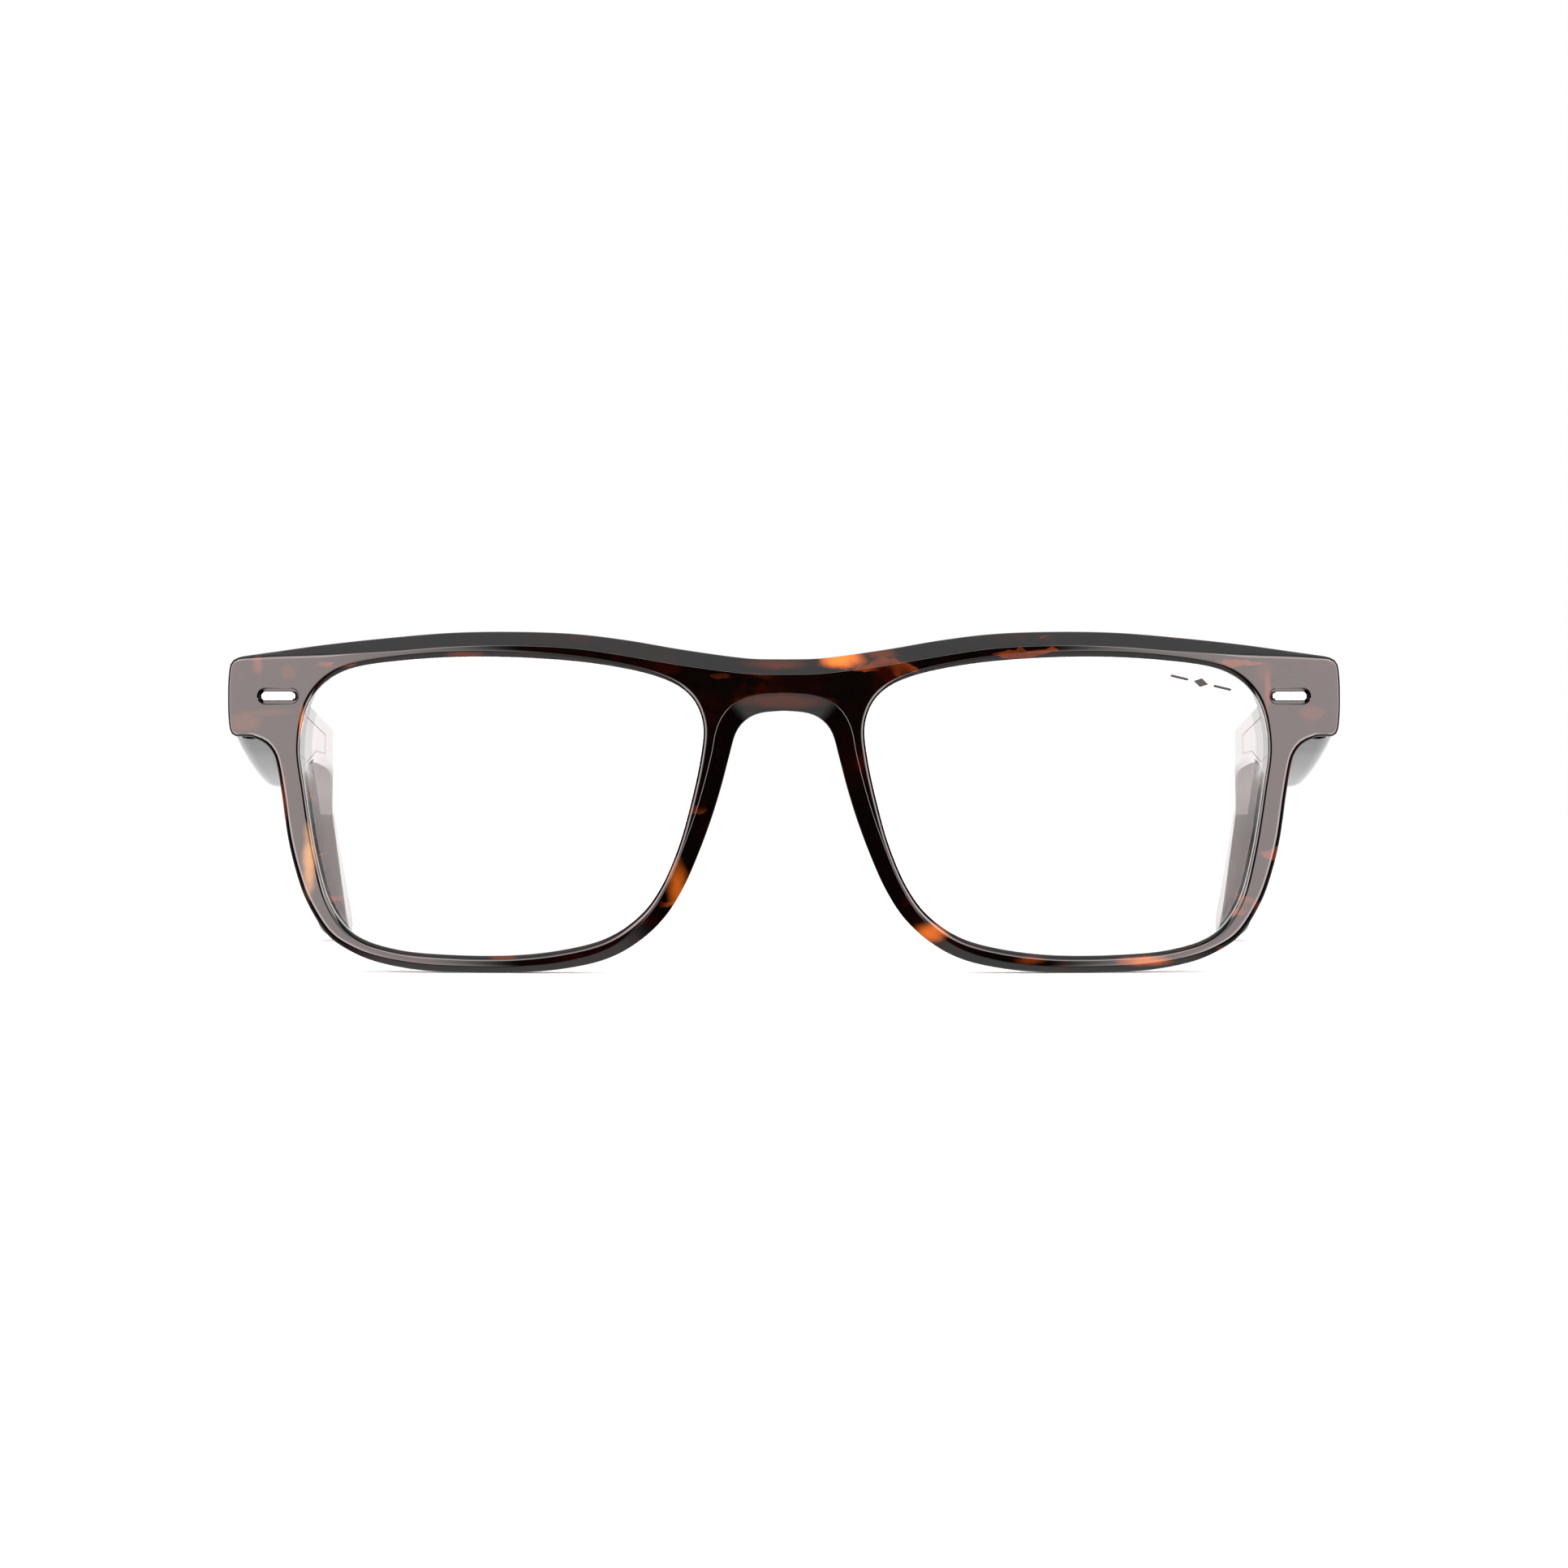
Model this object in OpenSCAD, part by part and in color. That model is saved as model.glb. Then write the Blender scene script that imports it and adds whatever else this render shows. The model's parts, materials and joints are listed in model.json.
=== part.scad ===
// Smart glasses with a curved acetate front, clear lenses and two folding temples
// that each hold their own electronics. Millimetres, +Z up, the front faces -Y.
// The origin is on the centre line, at the apex of the front face, level with the rim bottoms.

/* [Front] */
// Radius of the front face seen from above
front_radius = 240; // [190:1:320]
// Thickness of the acetate front
front_t = 4.4; // [3.4:0.1:5.4]
// Half of the overall width of the front
half_width = 72.3; // [70:0.1:76]
// Height of the brow above the rim bottoms
brow_height = 43.9; // [41.5:0.1:47]
// Height of the underside of the bridge
bridge_height = 33.7; // [31:0.1:35]

/* [Lenses] */
// Thickness of each lens
lens_t = 2; // [1.4:0.1:2.4]
// How far each lens runs into its groove
groove_depth = 0.5; // [0.3:0.1:0.8]

/* [Plaques] */
// Length of each pill-shaped plaque
plaque_l = 4.7; // [3.5:0.1:6]
// Height of each plaque
plaque_h = 1.3; // [0.9:0.1:2]
// Gap all round the plaque in its recess
plaque_gap = 0.33; // [0.1:0.01:0.5]

/* [Nose pads] */
// How far the built-in pads stand behind the rim
pad_reach = 5.2; // [3:0.1:6.5]

/* [Temples] */
// Length of a temple from butt to ear tip, straightened along its top
temple_l = 141; // [130:0.5:150]
// Thickness of a temple
temple_t = 5.2; // [4.8:0.1:6.4]
// Outer wall of the electronics bay
wall_t = 0.9; // [0.7:0.1:1.2]
// Thickness of the inner cover
cover_t = 0.9; // [0.7:0.1:1.1]
// Angle of the right temple from the folded line
right_angle = 90; // [-3:1:90]
// Angle of the left temple from the folded line
left_angle = 90; // [5:1:90]

/* [Hinges] */
// Radius of the hinge knuckles
knuckle_r = 1.9; // [1.6:0.1:2.1]
// Radius of the hinge screw
pin_r = 0.7; // [0.5:0.05:0.8]
// Running clearance round the screw
pin_gap = 0.05; // [0.02:0.01:0.1]
// Height of one knuckle
knuckle_h = 1.5; // [1.2:0.1:1.6]
// Tilt of the hinge axis, which lets the open temples slope down to the ears
hinge_tilt = 4.2; // [0:0.1:6]

/* [Electronics] */
// Length of each battery
battery_l = 18; // [12:0.5:18]
// Length of each circuit board
board_l = 20; // [19:0.5:20.5]
// Travel of the control button
button_travel = 0.3; // [0.1:0.05:0.3]
// Travel of the power switch
switch_travel = 2; // [1:0.1:2.4]

/* [Hidden] */

fine = 0.01;              // overcut that leaves no skin behind
small_gap = 0.1;          // clearance round pieces that sit in a pocket
curve_steps = 3;          // straight pieces between two control points
round_fn = 64;

// Front
back_radius = front_radius - front_t;
lens_front_radius = front_radius - (front_t - lens_t) / 2;
lens_back_radius = lens_front_radius - lens_t;
widen = half_width - 72.3;
raise = brow_height - 43.9;
bridge_z = bridge_height;
slab_depth = 32;

// Hinge: the axis stands behind the endpiece and just inside the open temple
butt_lead = 5.2;          // how far the butt stands in front of the axis
temple_gap = 0.6;         // axis to the inner face of the temple
butt_gap = 0.15;          // open temple to endpiece
hinge_x = half_width - temple_gap - temple_t;
endpiece_y = front_radius - sqrt(pow(back_radius, 2) - pow(half_width, 2)) + 0.3;
hinge_y = endpiece_y + butt_gap + butt_lead;
hinge_z = 34.9;
temple_top = 4.8;         // top of the temple over the hinge centre
knuckle_gap = 0.06;
knuckles = 5;
knuckle_pitch = knuckle_h + knuckle_gap;
hinge_h = knuckles * knuckle_h + (knuckles - 1) * knuckle_gap;
leaf_t = 1;
front_leaf_l = 9;
temple_leaf_l = 5.2;
screw_head_r = 1.25;
screw_head_h = 0.7;

// Plaques
plaque_x = 65.6 + widen;
plaque_z = 35.7;
plaque_sunk = 0.12;
plaque_deep = 0.75;

// Temple, in its own frame: X outwards, Y back from the butt, Z up from the top edge
inner_v = temple_gap;
outer_v = temple_gap + temple_t;
cover_v = inner_v + cover_t;
floor_v = outer_v - wall_t;
ear_shift = temple_l - 139.5;
bay_top = -3;
bay_low = -7.9;
lip = 0.7;
board_t = 0.7;
board_v = floor_v - board_t;
chip_t = 1.1;
chip_v = board_v - chip_t;
board_s = 16.3;
battery_s = board_s + 20.7;
speaker_s = 57.2;
speaker_l = 9.2;
port_s = 60;
port_l = 3.4;
button_s = 26.8;
button_l = 5;
button_w = 1.6;
button_v = (cover_v + floor_v) / 2;
switch_s = 30.2;

// Outline control points of the right half as seen from behind, X from the centre line and Z
brow_points = [[0, 40.3], [5, 40.45], [13, 41.55], [20, 42.75], [27, 43.6], [35, 43.9],
    [43, 43.8], [51, 43.2], [59, 42.4], [65.5, 41.55], [70.4, 40.9]];
end_points = [[71.4, 40.6], [72.0, 39.8], [72.25, 37.8], [72.3, 35.6], [72.25, 33.2],
    [72.0, 31.2], [71.4, 30.5]];
rim_points = [[69.2, 30.45], [67.4, 29.6], [66.3, 28.3], [65.75, 26.6], [65.1, 22.8], [64.3, 17.2],
    [63.1, 12.4], [61.7, 8.8], [59.2, 4.9], [56.2, 2.75], [52.4, 1.25], [47, 0.3], [41, 0], [34, 0.05],
    [28, 0.6], [22.7, 1.85], [18.6, 4.1], [15.3, 7.2], [12.9, 11], [11, 15.3], [9.4, 19.6],
    [8.1, 23.8], [7.1, 27.6], [6.2, 30.8], [4.9, 32.5], [3, 33.4], [0, 33.7]];
lens_points = [[62.7, 28.3], [62.4, 32], [61.3, 35.2], [59.0, 37.75], [55.5, 39.35], [49.5, 40.2],
    [41.7, 40.65], [33, 40.5], [24, 39.7], [16.4, 38.1], [12.2, 35.8], [10.4, 32.1], [10.7, 27.5],
    [12.1, 21.1], [13.7, 15.7], [15.9, 10.8], [18.6, 7.3], [22.6, 4.6], [27.9, 3.1], [34.6, 2.3],
    [42.6, 2.3], [49.9, 2.95], [55.5, 4.9], [58.8, 9], [60.7, 15.6], [62.1, 24]];
pad_points = [[7.1, 27.6], [8.1, 23.8], [9.4, 19.6], [11, 15.3], [12.2, 12.4], [14.6, 12.6],
    [14.7, 16], [13, 21.5], [11.4, 26], [9.6, 28.6], [8, 29.2]];

// Temple outline: Y from the butt and Z from the top edge
temple_low_points = [[0, -9.9], [10.2, -11.3], [21, -12.3], [32, -12.95], [42, -13.1], [51, -11.7],
    [61, -9.2], [71.5, -7.5], [84, -6.8], [96, -6.8], [103.5, -8.6], [110, -13.1], [118, -20.6],
    [125.5, -27.2]];
temple_tip_points = [[125.5, -27.2], [130.5, -29.4], [135.5, -29.4], [138.9, -28.1], [139.5, -26.3],
    [137.2, -24.1]];
temple_top_points = [[137.2, -24.1], [127, -18.1], [118.9, -12.5], [111, -5.6], [105, -1.4], [98.9, 0]];
core_points = [[88, -2.6], [99, -2.7], [104.5, -4.2], [110, -8.4], [118, -15.2], [127, -21],
    [133.5, -25], [131.5, -26.6], [126.5, -24.6], [118.4, -18], [110, -10.2], [103.5, -5.6],
    [97, -4.3], [88, -4.3]];
cover_points = [[15, -2.3], [84.4, -2.3], [85, -2.9], [85, -4.6], [84.4, -5.2], [70, -5.9],
    [56, -8.6], [15, -8.6], [14.4, -8], [14.4, -2.9]];
bay_points = [[15.8, bay_top], [83.8, bay_top], [83.8, -4.5], [70, -5.2], [55.7, bay_low],
    [15.8, bay_low]];

// Curves through control points
function spread(a, b, c, d, t) =
    0.5 * (2 * b + (c - a) * t + (2 * a - 5 * b + 4 * c - d) * pow(t, 2)
        + (3 * b - a - 3 * c + d) * pow(t, 3));
function curve(p) = concat([for (i = [0 : len(p) - 2], k = [0 : curve_steps - 1])
    let (a = i == 0 ? 2 * p[0] - p[1] : p[i - 1],
        d = i == len(p) - 2 ? 2 * p[i + 1] - p[i] : p[i + 2])
    spread(a, p[i], p[i + 1], d, k / curve_steps)], [p[len(p) - 1]]);
function loop(p) = let (n = len(p)) [for (i = [0 : n - 1], k = [0 : curve_steps - 1])
    spread(p[(i + n - 1) % n], p[i], p[(i + 1) % n], p[(i + 2) % n], k / curve_steps)];
function grown(p, by) = let (n = len(p)) [for (i = [0 : n - 1])
    let (along = p[(i + 1) % n] - p[(i + n - 1) % n])
    p[i] + by * [along[1], -along[0]] / norm(along)];
function flipped(p) = [for (i = [len(p) - 1 : -1 : 0]) [-p[i][0], p[i][1]]];
// The driving sizes stretch the outline: the outer end moves with the width,
// the brow with its height and the underside of the bridge with its own
function fitted(p) = [for (q = p)
    [q[0] + widen * q[0] / 72.3,
        q[1] + raise * max(0, q[1] - 12) / 31.9 + (bridge_z - 33.7) * max(0, 1 - abs(q[0]) / 9)
            * (q[1] < 36 ? 1 : 0) * max(0, min(1, (q[1] - 20) / 13.7))]];
function shifted(p) = [for (q = p) [q[0] + ear_shift * max(0, min(1, (q[0] - 60) / 35)), q[1]]];

half_outline = fitted(concat(curve(brow_points), curve(end_points), curve(rim_points)));
front_outline = concat(half_outline, flipped([for (i = [1 : len(half_outline) - 2]) half_outline[i]]));
lens_opening = loop(fitted(lens_points));
lens_outline = grown(lens_opening, groove_depth);
temple_outline = shifted(concat([[0, 0]],
    curve(temple_low_points), curve(temple_tip_points), curve(temple_top_points)));

// A flat outline in X and Z pushed from y0 to y1
module slab(points, y0, y1) {
    translate([0, y1, 0]) rotate([90, 0, 0]) linear_extrude(y1 - y0) polygon(points);
}

// A flat outline in Y and Z of the temple frame pushed from v0 to v1
module plate(points, v0, v1) {
    translate([v0, 0, 0]) rotate([90, 0, 90]) linear_extrude(v1 - v0) polygon(points);
}

module block(v0, v1, s0, s1, z0, z1) {
    translate([v0, s0, z0]) cube([v1 - v0, s1 - s0, z1 - z0]);
}

module upright(r, z0, z1) {
    translate([0, front_radius, z0]) cylinder(r = r, h = z1 - z0, $fn = 360);
}

module shell(outer, inner) {
    difference() {
        upright(outer, -5, 60);
        upright(inner, -6, 61);
    }
}

module pill(length, height) {
    straight = length - height;
    union() {
        square([straight, height], center = true);
        for (side = [-1, 1]) translate([side * straight / 2, 0]) circle(d = height, $fn = round_fn);
    }
}

// Frames: the right temple is at -X, because the glasses are seen from the front
module on_side(side) {
    if (side > 0) children();
    else mirror([1, 0, 0]) children();
}

module hinge_frame(side) {
    on_side(side) translate([hinge_x, hinge_y, hinge_z]) rotate([-hinge_tilt, 0, 0]) children();
}

module temple_frame(side) {
    fold = 90 - (side > 0 ? left_angle : right_angle);
    hinge_frame(side) rotate([0, 0, fold]) translate([0, -butt_lead, temple_top]) children();
}

// Front
module nose_pad(side) {
    pad_depth = front_t + pad_reach;
    dome_r = 14.5;
    on_side(side) intersection() {
        slab(fitted(pad_points), 0, slab_depth);
        translate([10.6, pad_depth - dome_r, 20.5]) sphere(r = dome_r, $fn = round_fn);
    }
}

module endpiece_keep(side) {
    on_side(side) translate([hinge_x - 4.9, 0, 29]) cube([20, slab_depth, 20]);
}

module front_body() {
    difference() {
        intersection() {
            slab(front_outline, -1, slab_depth);
            upright(front_radius, -5, 60);
        }
        difference() {
            upright(back_radius, -6, 61);
            for (side = [-1, 1]) {
                endpiece_keep(side);
                nose_pad(side);
            }
        }
    }
}

module plaque_blank(side, length, height, sunk) {
    on_side(side) intersection() {
        translate([plaque_x, 20, plaque_z]) rotate([90, 0, 0]) linear_extrude(25) pill(length, height);
        shell(front_radius - sunk, front_radius - plaque_deep);
    }
}

module front_leaf_plate(side) {
    hinge_frame(side) block(-leaf_t, 0, -front_leaf_l, 0, -hinge_h / 2, hinge_h / 2);
}

module lens_blank(side) {
    on_side(side) intersection() {
        slab(lens_outline, -1, slab_depth);
        shell(lens_front_radius, lens_back_radius);
    }
}

module front_frame() {
    color([0.16, 0.09, 0.06]) difference() {
        front_body();
        for (side = [-1, 1]) {
            on_side(side) slab(lens_opening, -2, slab_depth + 1);
            lens_blank(side);
            plaque_blank(side, plaque_l + 2 * plaque_gap, plaque_h + 2 * plaque_gap, -1);
            front_leaf_plate(side);
            hinge_frame(side) block(-20, 20, -butt_lead - butt_gap, 30, -20, 20);
        }
    }
}

module lens(side) {
    color([0.82, 0.82, 0.84, 0.4]) lens_blank(side);
}

module plaque(side) {
    color([0.85, 0.85, 0.87]) plaque_blank(side, plaque_l, plaque_h, plaque_sunk);
}

// Hinges: the front has knuckles 0, 2 and 4, the temple has 1 and 3
module knuckle(index, r, spare) {
    z0 = -hinge_h / 2 + index * knuckle_pitch;
    translate([0, 0, z0 - spare]) cylinder(r = r, h = knuckle_h + 2 * spare, $fn = round_fn);
}

module front_hinge(side) {
    color([0.75, 0.7, 0.6]) difference() {
        union() {
            front_leaf_plate(side);
            hinge_frame(side) for (i = [0, 2, 4]) knuckle(i, knuckle_r, 0);
        }
        hinge_frame(side) {
            for (i = [1, 3]) knuckle(i, knuckle_r + small_gap, knuckle_gap);
            translate([0, 0, -hinge_h / 2 + knuckle_h])
                cylinder(r = pin_r + pin_gap, h = hinge_h, $fn = round_fn);
            translate([0, 0, -hinge_h]) cylinder(r = pin_r, h = hinge_h, $fn = round_fn);
        }
    }
}

module hinge_screw(side) {
    color([0.7, 0.7, 0.72]) hinge_frame(side) {
        difference() {
            union() {
                translate([0, 0, -hinge_h / 2]) cylinder(r = pin_r, h = hinge_h, $fn = round_fn);
                translate([0, 0, hinge_h / 2]) cylinder(r = screw_head_r, h = screw_head_h, $fn = round_fn);
            }
            translate([-0.15, -2, hinge_h / 2 + screw_head_h - 0.35]) cube([0.3, 4, 1]);
        }
    }
}

module temple_leaf_plate() {
    block(0, leaf_t, butt_lead, butt_lead + temple_leaf_l,
        -temple_top - hinge_h / 2 + knuckle_h, -temple_top + hinge_h / 2 - knuckle_h);
}

module axis_in_temple() {
    translate([0, butt_lead, -temple_top]) children();
}

module temple_hinge(side) {
    color([0.75, 0.7, 0.6]) temple_frame(side) difference() {
        union() {
            temple_leaf_plate();
            axis_in_temple() for (i = [1, 3]) knuckle(i, knuckle_r, 0);
        }
        axis_in_temple() {
            for (i = [0, 2, 4]) knuckle(i, knuckle_r + small_gap, knuckle_gap);
            translate([0, 0, -hinge_h]) cylinder(r = pin_r + pin_gap, h = 2 * hinge_h, $fn = round_fn);
        }
    }
}

// Temples
module temple_shell(side) {
    color([0.15, 0.09, 0.06]) temple_frame(side) difference() {
        plate(temple_outline, inner_v, outer_v);
        plate(cover_points, inner_v - 1, cover_v);
        plate(bay_points, inner_v, floor_v);
        plate(shifted(core_points), core_v0(), core_v0() + core_t());
        temple_leaf_plate();
        axis_in_temple() translate([0, 0, -hinge_h / 2 - 0.2])
            cylinder(r = knuckle_r + small_gap + 0.05, h = hinge_h + screw_head_h + 0.4, $fn = round_fn);
        speaker_port();
        microphone_port();
        if (side < 0) button_way();
    }
}

function core_t() = 1;
function core_v0() = (inner_v + outer_v - core_t()) / 2;

module speaker_port() {
    block(port_v() - 0.7, port_v() + 0.7, port_s, port_s + port_l, -14, bay_low + 2);
}

function port_v() = (cover_v + floor_v) / 2;

module microphone_port() {
    translate([port_v(), board_s + 1.6, -14]) cylinder(r = 0.4, h = 14 + bay_low + fine, $fn = 32);
}

module button_way() {
    translate([button_v, button_s + button_l / 2, bay_top - fine]) linear_extrude(5) rotate(90)
        pill(button_l + 2 * small_gap, button_w + 2 * small_gap);
    block(button_v - 1.2, button_v + 1.2, button_s - 0.7, button_s + button_l + 0.7, bay_top - fine,
        bay_top + 0.55);
}

module temple_cover(side) {
    color([0.12, 0.08, 0.06]) temple_frame(side) difference() {
        plate(cover_points, inner_v, cover_v);
        temple_leaf_plate();
        if (side > 0) {
            for (i = [0, 1]) contact_place(i) cylinder(r = contact_r, h = 4, center = true, $fn = round_fn);
            light_place() cylinder(r = light_r, h = 4, center = true, $fn = round_fn);
            block(0, cover_v + fine, switch_s, switch_s + knob_l + switch_travel + 2 * small_gap,
                switch_z - knob_h / 2 - small_gap, switch_z + knob_h / 2 + small_gap);
        }
    }
}

module temple_core(side) {
    color([0.1, 0.08, 0.07]) temple_frame(side)
        plate(shifted(core_points), core_v0(), core_v0() + core_t());
}

// Electronics, the same in both temples
module battery(side) {
    color([0.55, 0.57, 0.6]) temple_frame(side) {
        block(cover_v + 0.25, floor_v, battery_s, battery_s + battery_l, bay_low + 0.15, bay_top - 0.1);
    }
}

module board(side) {
    color([0.05, 0.3, 0.15]) temple_frame(side)
        block(board_v, floor_v, board_s, board_s + board_l, bay_low + 0.15,
            bay_top - button_travel - 0.1);
}

module chip(side, s0, length, z0, height) {
    color([0.08, 0.08, 0.09]) temple_frame(side)
        block(chip_v, board_v, s0, s0 + length, z0, z0 + height);
}

module speaker(side) {
    color([0.2, 0.2, 0.22]) temple_frame(side)
        block(cover_v + 0.4, floor_v, speaker_s, speaker_s + speaker_l, -5.7, bay_top - 0.1);
}

module speaker_mesh(side) {
    color([0.5, 0.5, 0.52]) temple_frame(side) difference() {
        block(port_v() - 0.7, port_v() + 0.7, port_s, port_s + port_l, -8.3, -8);
        for (i = [0 : 3]) translate([port_v(), port_s + 0.5 + 0.8 * i, -9])
            cylinder(r = 0.25, h = 2, $fn = 24);
    }
}

module touch_pad(side) {
    color([0.8, 0.5, 0.2]) temple_frame(side) block(floor_v - 0.2, floor_v, 68, 83, -4.5, bay_top - 0.1);
}

module antenna(side) {
    color([0.8, 0.6, 0.3]) temple_frame(side) block(cover_v, cover_v + 0.15, 69, 83, -4.4, -3.2);
}

module flex_cable(side) {
    color([0.7, 0.4, 0.1]) temple_frame(side) block(cover_v, cover_v + 0.15, 37.8, 68.4, -4.8, -3.6);
}

// Control button on the right temple
module control_button() {
    color([0.1, 0.08, 0.07]) temple_frame(-1) {
        translate([button_v, button_s + button_l / 2, bay_top + 0.5]) linear_extrude(-bay_top - 0.25)
            rotate(90) pill(button_l, button_w);
        block(button_v - 1.1, button_v + 1.1, button_s - 0.6, button_s + button_l + 0.6,
            bay_top + 0.05, bay_top + 0.5);
    }
}

module dome_switch() {
    color([0.8, 0.8, 0.82]) temple_frame(-1)
        block(chip_v, board_v, button_s + 1, button_s + 4, bay_top - 1.4, bay_top - button_travel);
}

// Power switch, contacts, magnet and light on the left temple
knob_l = 3;
knob_h = 1.8;
switch_z = (bay_top + bay_low) / 2;
contact_r = 0.8;
light_r = 0.45;

module power_switch_knob() {
    color([0.1, 0.08, 0.07]) temple_frame(1) {
        block(inner_v - 0.35, cover_v + 0.05, switch_s + small_gap, switch_s + small_gap + knob_l,
            switch_z - knob_h / 2, switch_z + knob_h / 2);
        block(cover_v + 0.05, cover_v + 0.45, switch_s + small_gap - 0.8, switch_s + knob_l + 0.9,
            switch_z - knob_h / 2 - 0.5, switch_z + knob_h / 2 + 0.5);
    }
}

module slide_switch() {
    color([0.75, 0.75, 0.77]) temple_frame(1)
        block(cover_v + 0.5, board_v, switch_s - 0.4, switch_s + 5.6, switch_z - 1.6, switch_z + 1.6);
}

module contact_place(index) {
    translate([(inner_v + cover_v) / 2, 19 + 2.8 * index, switch_z]) rotate([0, 90, 0]) children();
}

module light_place() {
    translate([(inner_v + cover_v) / 2, 27.6, switch_z]) rotate([0, 90, 0]) children();
}

module charging_contacts() {
    color([0.9, 0.75, 0.4]) temple_frame(1) for (i = [0, 1]) contact_place(i)
        translate([0, 0, -cover_t / 2]) cylinder(r = contact_r, h = cover_t + 0.4, $fn = round_fn);
}

module case_magnet() {
    color([0.7, 0.7, 0.72]) temple_frame(1) translate([cover_v, 24.9, switch_z]) rotate([0, 90, 0])
        cylinder(r = 1.1, h = 1, $fn = round_fn);
}

module status_light() {
    color([0.9, 0.95, 0.95]) temple_frame(1) light_place()
        translate([0, 0, -cover_t / 2]) cylinder(r = light_r, h = cover_t / 2 + chip_v - (inner_v + cover_v) / 2,
            $fn = round_fn);
}

front_frame();
lens(-1);  // lens_right
lens(1);  // lens_left
plaque(-1);  // plaque_right
plaque(1);  // plaque_left
front_hinge(-1);  // front_hinge_right
front_hinge(1);  // front_hinge_left
hinge_screw(-1);  // hinge_screw_right
hinge_screw(1);  // hinge_screw_left
temple_hinge(-1);  // temple_hinge_right
temple_hinge(1);  // temple_hinge_left
temple_shell(-1);  // temple_shell_right
temple_shell(1);  // temple_shell_left
temple_cover(-1);  // temple_cover_right
temple_cover(1);  // temple_cover_left
temple_core(-1);  // temple_core_right
temple_core(1);  // temple_core_left
battery(-1);  // battery_right
battery(1);  // battery_left
board(-1);  // main_board_right
board(1);  // power_board_left
chip(-1, board_s + 5, 4.2, bay_low + 0.4, 4.2);  // processor_right
chip(-1, button_s, 3.2, bay_low + 0.4, 2.2);  // memory_chip_right
chip(-1, button_s + 5.6, 2.4, bay_low + 0.6, 2.4);  // motion_sensor_right
chip(1, board_s + 5, 4, bay_low + 0.5, 4);  // radio_module_left
chip(1, board_s + 9.4, 1.4, bay_low + 0.5, 1.3);  // charge_chip_left
chip(-1, board_s + 0.4, 2.6, bay_low + 0.2, 1.8);  // microphone_right
chip(1, board_s + 0.4, 2.6, bay_low + 0.2, 1.8);  // microphone_left
speaker(-1);  // speaker_right
speaker(1);  // speaker_left
speaker_mesh(-1);  // speaker_mesh_right
speaker_mesh(1);  // speaker_mesh_left
touch_pad(-1);  // touch_pad_right
touch_pad(1);  // touch_pad_left
antenna(-1);  // antenna_right
antenna(1);  // antenna_left
flex_cable(-1);  // flex_cable_right
flex_cable(1);  // flex_cable_left
control_button();
dome_switch();  // dome_switch_right
power_switch_knob();
slide_switch();  // slide_switch_left
charging_contacts();  // charging_contacts_left
case_magnet();  // case_magnet_left
status_light();  // status_light_left
chip(1, 27, 1.2, switch_z - 0.6, 1.2);  // status_led_left
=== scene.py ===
"""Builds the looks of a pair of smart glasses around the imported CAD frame.

Lengths are written in millimetres and turned into metres at the last step, where a mesh is made.
The right temple is at -X, because the glasses are seen from the front.
"""

import json
import logging
import math
from dataclasses import dataclass, field
from enum import Enum
from typing import Callable, ClassVar, Sequence

import bmesh
import bpy
import numpy as np
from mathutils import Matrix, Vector
from mathutils.geometry import delaunay_2d_cdt

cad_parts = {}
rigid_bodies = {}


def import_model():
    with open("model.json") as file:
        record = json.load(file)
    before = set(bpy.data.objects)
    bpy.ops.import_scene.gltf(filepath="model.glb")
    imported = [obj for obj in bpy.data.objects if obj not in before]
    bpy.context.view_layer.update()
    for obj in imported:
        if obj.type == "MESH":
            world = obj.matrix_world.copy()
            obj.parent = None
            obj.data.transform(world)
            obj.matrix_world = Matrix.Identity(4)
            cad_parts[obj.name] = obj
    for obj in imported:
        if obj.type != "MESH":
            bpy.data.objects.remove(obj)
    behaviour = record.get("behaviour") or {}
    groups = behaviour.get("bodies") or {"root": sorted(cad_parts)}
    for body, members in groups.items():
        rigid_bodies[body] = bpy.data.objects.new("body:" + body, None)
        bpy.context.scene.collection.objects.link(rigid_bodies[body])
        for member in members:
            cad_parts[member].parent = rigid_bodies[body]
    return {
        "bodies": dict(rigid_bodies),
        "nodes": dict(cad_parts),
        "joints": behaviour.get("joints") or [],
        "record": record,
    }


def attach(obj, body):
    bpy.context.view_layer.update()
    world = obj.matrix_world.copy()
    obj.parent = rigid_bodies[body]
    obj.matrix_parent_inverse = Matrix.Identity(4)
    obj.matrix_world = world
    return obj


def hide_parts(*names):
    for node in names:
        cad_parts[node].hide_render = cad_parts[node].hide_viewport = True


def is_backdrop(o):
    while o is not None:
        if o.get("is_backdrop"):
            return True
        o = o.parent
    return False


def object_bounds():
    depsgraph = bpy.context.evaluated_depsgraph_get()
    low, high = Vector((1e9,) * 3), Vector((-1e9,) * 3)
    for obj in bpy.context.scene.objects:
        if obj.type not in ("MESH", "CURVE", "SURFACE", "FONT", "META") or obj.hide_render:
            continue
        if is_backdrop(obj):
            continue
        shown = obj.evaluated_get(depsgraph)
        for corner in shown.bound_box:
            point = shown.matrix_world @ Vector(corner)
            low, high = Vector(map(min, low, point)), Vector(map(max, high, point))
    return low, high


log = logging.getLogger("glasses")
MM = 0.001
WHITE = (1.0, 1.0, 1.0, 1.0)
MIDDLE = (0.5, 0.5, 0.5)  # the mean colour of a noise

Loop = np.ndarray  # rows of X, Z and edge width
Place = Callable[[np.ndarray, np.ndarray, bool], np.ndarray]
Socket = bpy.types.NodeSocket


class Side(Enum):
    """Which side of the wearer a piece is on, with the sign of its X."""

    RIGHT = -1
    LEFT = 1

    @property
    def word(self) -> str:
        """The side's name as it stands in node names."""
        return self.name.lower()


# ---------------------------------------------------------------- outlines


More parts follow.
